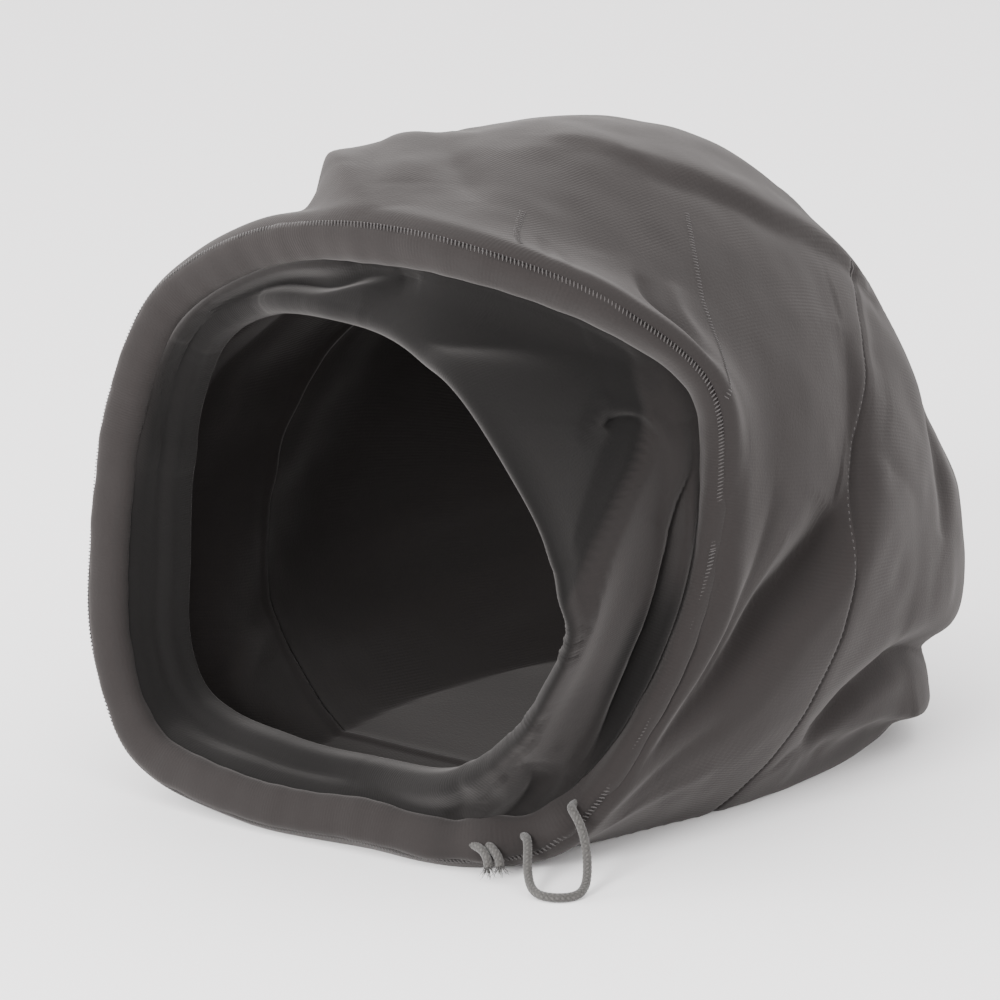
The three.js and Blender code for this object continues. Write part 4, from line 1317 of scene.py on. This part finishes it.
class BAG_OT_stitches(bpy.types.Operator):
    """Sew the hem's overlocked seam, the front seam, the rear seam and the hatched crease"""

    bl_idname = "helmet_bag.stitches"
    bl_label = "Stitches"

    def execute(self, context):
        sizes = context.scene.bag_sizes
        form = BagForm(sizes)
        place = body_place(form)
        pitch = sizes.stitch_pitch
        self.overlock(form, place, pitch)
        self.cross_stitches(form, place, "front_seam", FRONT_SEAM, pitch, FRONT_STITCH)
        crease = ("hatched_crease", HATCHED_CREASE, 1.2 * pitch, CREASE_STITCH)
        self.cross_stitches(form, place, *crease)
        self.rear_seam(form, place, 2 * pitch)
        return {"FINISHED"}

    def even_turns(self, line, turns, pitch):
        """Turns that are an even pitch apart round a closed line."""
        steps = np.linalg.norm(np.diff(line, axis=0, append=line[:1]), axis=1)
        lengths = np.cumsum(steps)
        return np.interp(np.arange(0, lengths[-1], pitch), lengths, turns)

    def sewn(self, bm, name):
        """Turns a row of stitches into a piece."""
        show_as_piece(object_from(bm, name), name, "cord", finishes()["thread"])

    def overlock(self, form, place, pitch):
        """Slanting stitches over the seam between the hem and the body."""
        turns = np.arange(0, 360, 0.25)
        at = self.even_turns(form.ring(turns), turns, pitch)
        low = place(np.full(len(at), OVERLOCK_ALONG), at)
        normals = surface_normals(form.plain, np.full(len(at), OVERLOCK_ALONG), at)
        _, along, _, _, thick = form.ring_frame(at)
        hem_side = form.hem(np.full(len(at), OVERLOCK_SIDE), at)
        bm = bmesh.new()
        for body, rim, go, out in zip(low, hem_side, along, normals + thick):
            out = out / np.linalg.norm(out)
            start = rim + out * RIM_LIFT - go * HALF_STITCH
            add_stitch(bm, start, body + out * BODY_LIFT + go * HALF_STITCH, out, THREAD)
        self.sewn(bm, "hem_overlock")

    def cross_stitches(self, form, place, name, path, pitch, reach):
        """Short stitches across a line on the body."""
        steps = np.linspace(0, len(path) - 1, 200)
        line = SmoothTable([(k, *row) for k, row in enumerate(path)])(steps).T
        points = place(line[:, 0], line[:, 1])
        lengths = run_lengths(points)
        at = np.arange(0, lengths[-1], pitch)
        places = [np.interp(at, lengths, line[:, k]) for k in range(2)]
        points = place(*places)
        normals = surface_normals(form.plain, *places)
        tangents = unit(np.gradient(points, axis=0))
        sides = np.cross(tangents, normals)
        bm = bmesh.new()
        for point, out, side in zip(points, normals, sides):
            point = point + out * FINE_LIFT
            half = side * reach / 2
            add_stitch(bm, point - half, point + half, out, FINE_THREAD)
        self.sewn(bm, f"{name}_stitches")

    def rear_seam(self, form, place, pitch):
        """A row of small stitches just in front of the rear seam."""
        turns = np.arange(0, 360, 0.5)
        at = self.even_turns(place(form.seam(turns) - REAR_ROW, turns), turns, pitch)
        along = form.seam(at) - REAR_ROW
        points = place(along, at)
        normals = surface_normals(form.plain, along, at)
        tangents = unit(np.roll(points, -1, axis=0) - np.roll(points, 1, axis=0))
        bm = bmesh.new()
        for point, out, go in zip(points, normals, tangents):
            if point[2] > LOWEST_STITCH:
                half = go * HALF_REAR_STITCH
                add_stitch(bm, point - half, point + half, out, THREAD)
        self.sewn(bm, "rear_seam_stitches")


def area_light(name, location, size, power):
    """A round area light that is turned to the bag."""
    data = bpy.data.lights.new(name, "AREA")
    data.shape = "DISK"
    data.size = size
    data.energy = power
    light = bpy.data.objects.new(name, data)
    light.location = location
    way = Vector(LIGHTS_AIM) - Vector(location)
    light.rotation_euler = way.to_track_quat("-Z", "Y").to_euler()
    bpy.context.scene.collection.objects.link(light)


class BAG_OT_stage(bpy.types.Operator):
    """Set the pale floor and the soft studio light"""

    bl_idname = "helmet_bag.stage"
    bl_label = "Stage"

    def execute(self, context):
        colours = context.scene.bag_colours
        bm = bmesh.new()
        bmesh.ops.create_grid(bm, x_segments=1, y_segments=1, size=FLOOR_SIZE)
        floor = object_from(bm, "floor")
        finish = Finish("floor", 0.9)
        finish.set("Base Color", tuple(colours.floor))
        floor.data.materials.append(finish.material)
        world = bpy.data.worlds.new("studio")
        world.use_nodes = True
        background = world.node_tree.nodes["Background"]
        background.inputs["Color"].default_value = WORLD_COLOUR
        background.inputs["Strength"].default_value = WORLD_STRENGTH
        context.scene.world = world
        for row in LIGHTS:
            area_light(*row)
        return {"FINISHED"}


class BAG_PT_panel(bpy.types.Panel):
    """Lists the bag's pieces and sizes"""

    bl_idname = "BAG_PT_panel"
    bl_label = "Helmet Bag"
    bl_space_type = "VIEW_3D"
    bl_region_type = "UI"
    bl_category = "Helmet Bag"

    def draw(self, context):
        for step in STEPS:
            self.layout.operator(f"helmet_bag.{step}")
        for group in (context.scene.bag_sizes, context.scene.bag_colours):
            for name in group.bl_rna.properties.keys():
                if name not in ("rna_type", "name"):
                    self.layout.prop(group, name)


STEPS = ("camera", "cord", "body", "hem", "facing", "stitches", "stage")

CLASSES = (
    BagSizes,
    BagColours,
    BAG_OT_camera,
    BAG_OT_cord,
    BAG_OT_body,
    BAG_OT_hem,
    BAG_OT_facing,
    BAG_OT_stitches,
    BAG_OT_stage,
    BAG_PT_panel,
)


def register():
    for cls in CLASSES:
        bpy.utils.register_class(cls)
    bpy.types.Scene.bag_sizes = PointerProperty(type=BagSizes)
    bpy.types.Scene.bag_colours = PointerProperty(type=BagColours)


def unregister():
    del bpy.types.Scene.bag_sizes
    del bpy.types.Scene.bag_colours
    for cls in reversed(CLASSES):
        bpy.utils.unregister_class(cls)


def main():
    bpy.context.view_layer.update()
    register()
    for step in STEPS:
        getattr(bpy.ops.helmet_bag, step)()


if __name__ == "__main__":
    main()
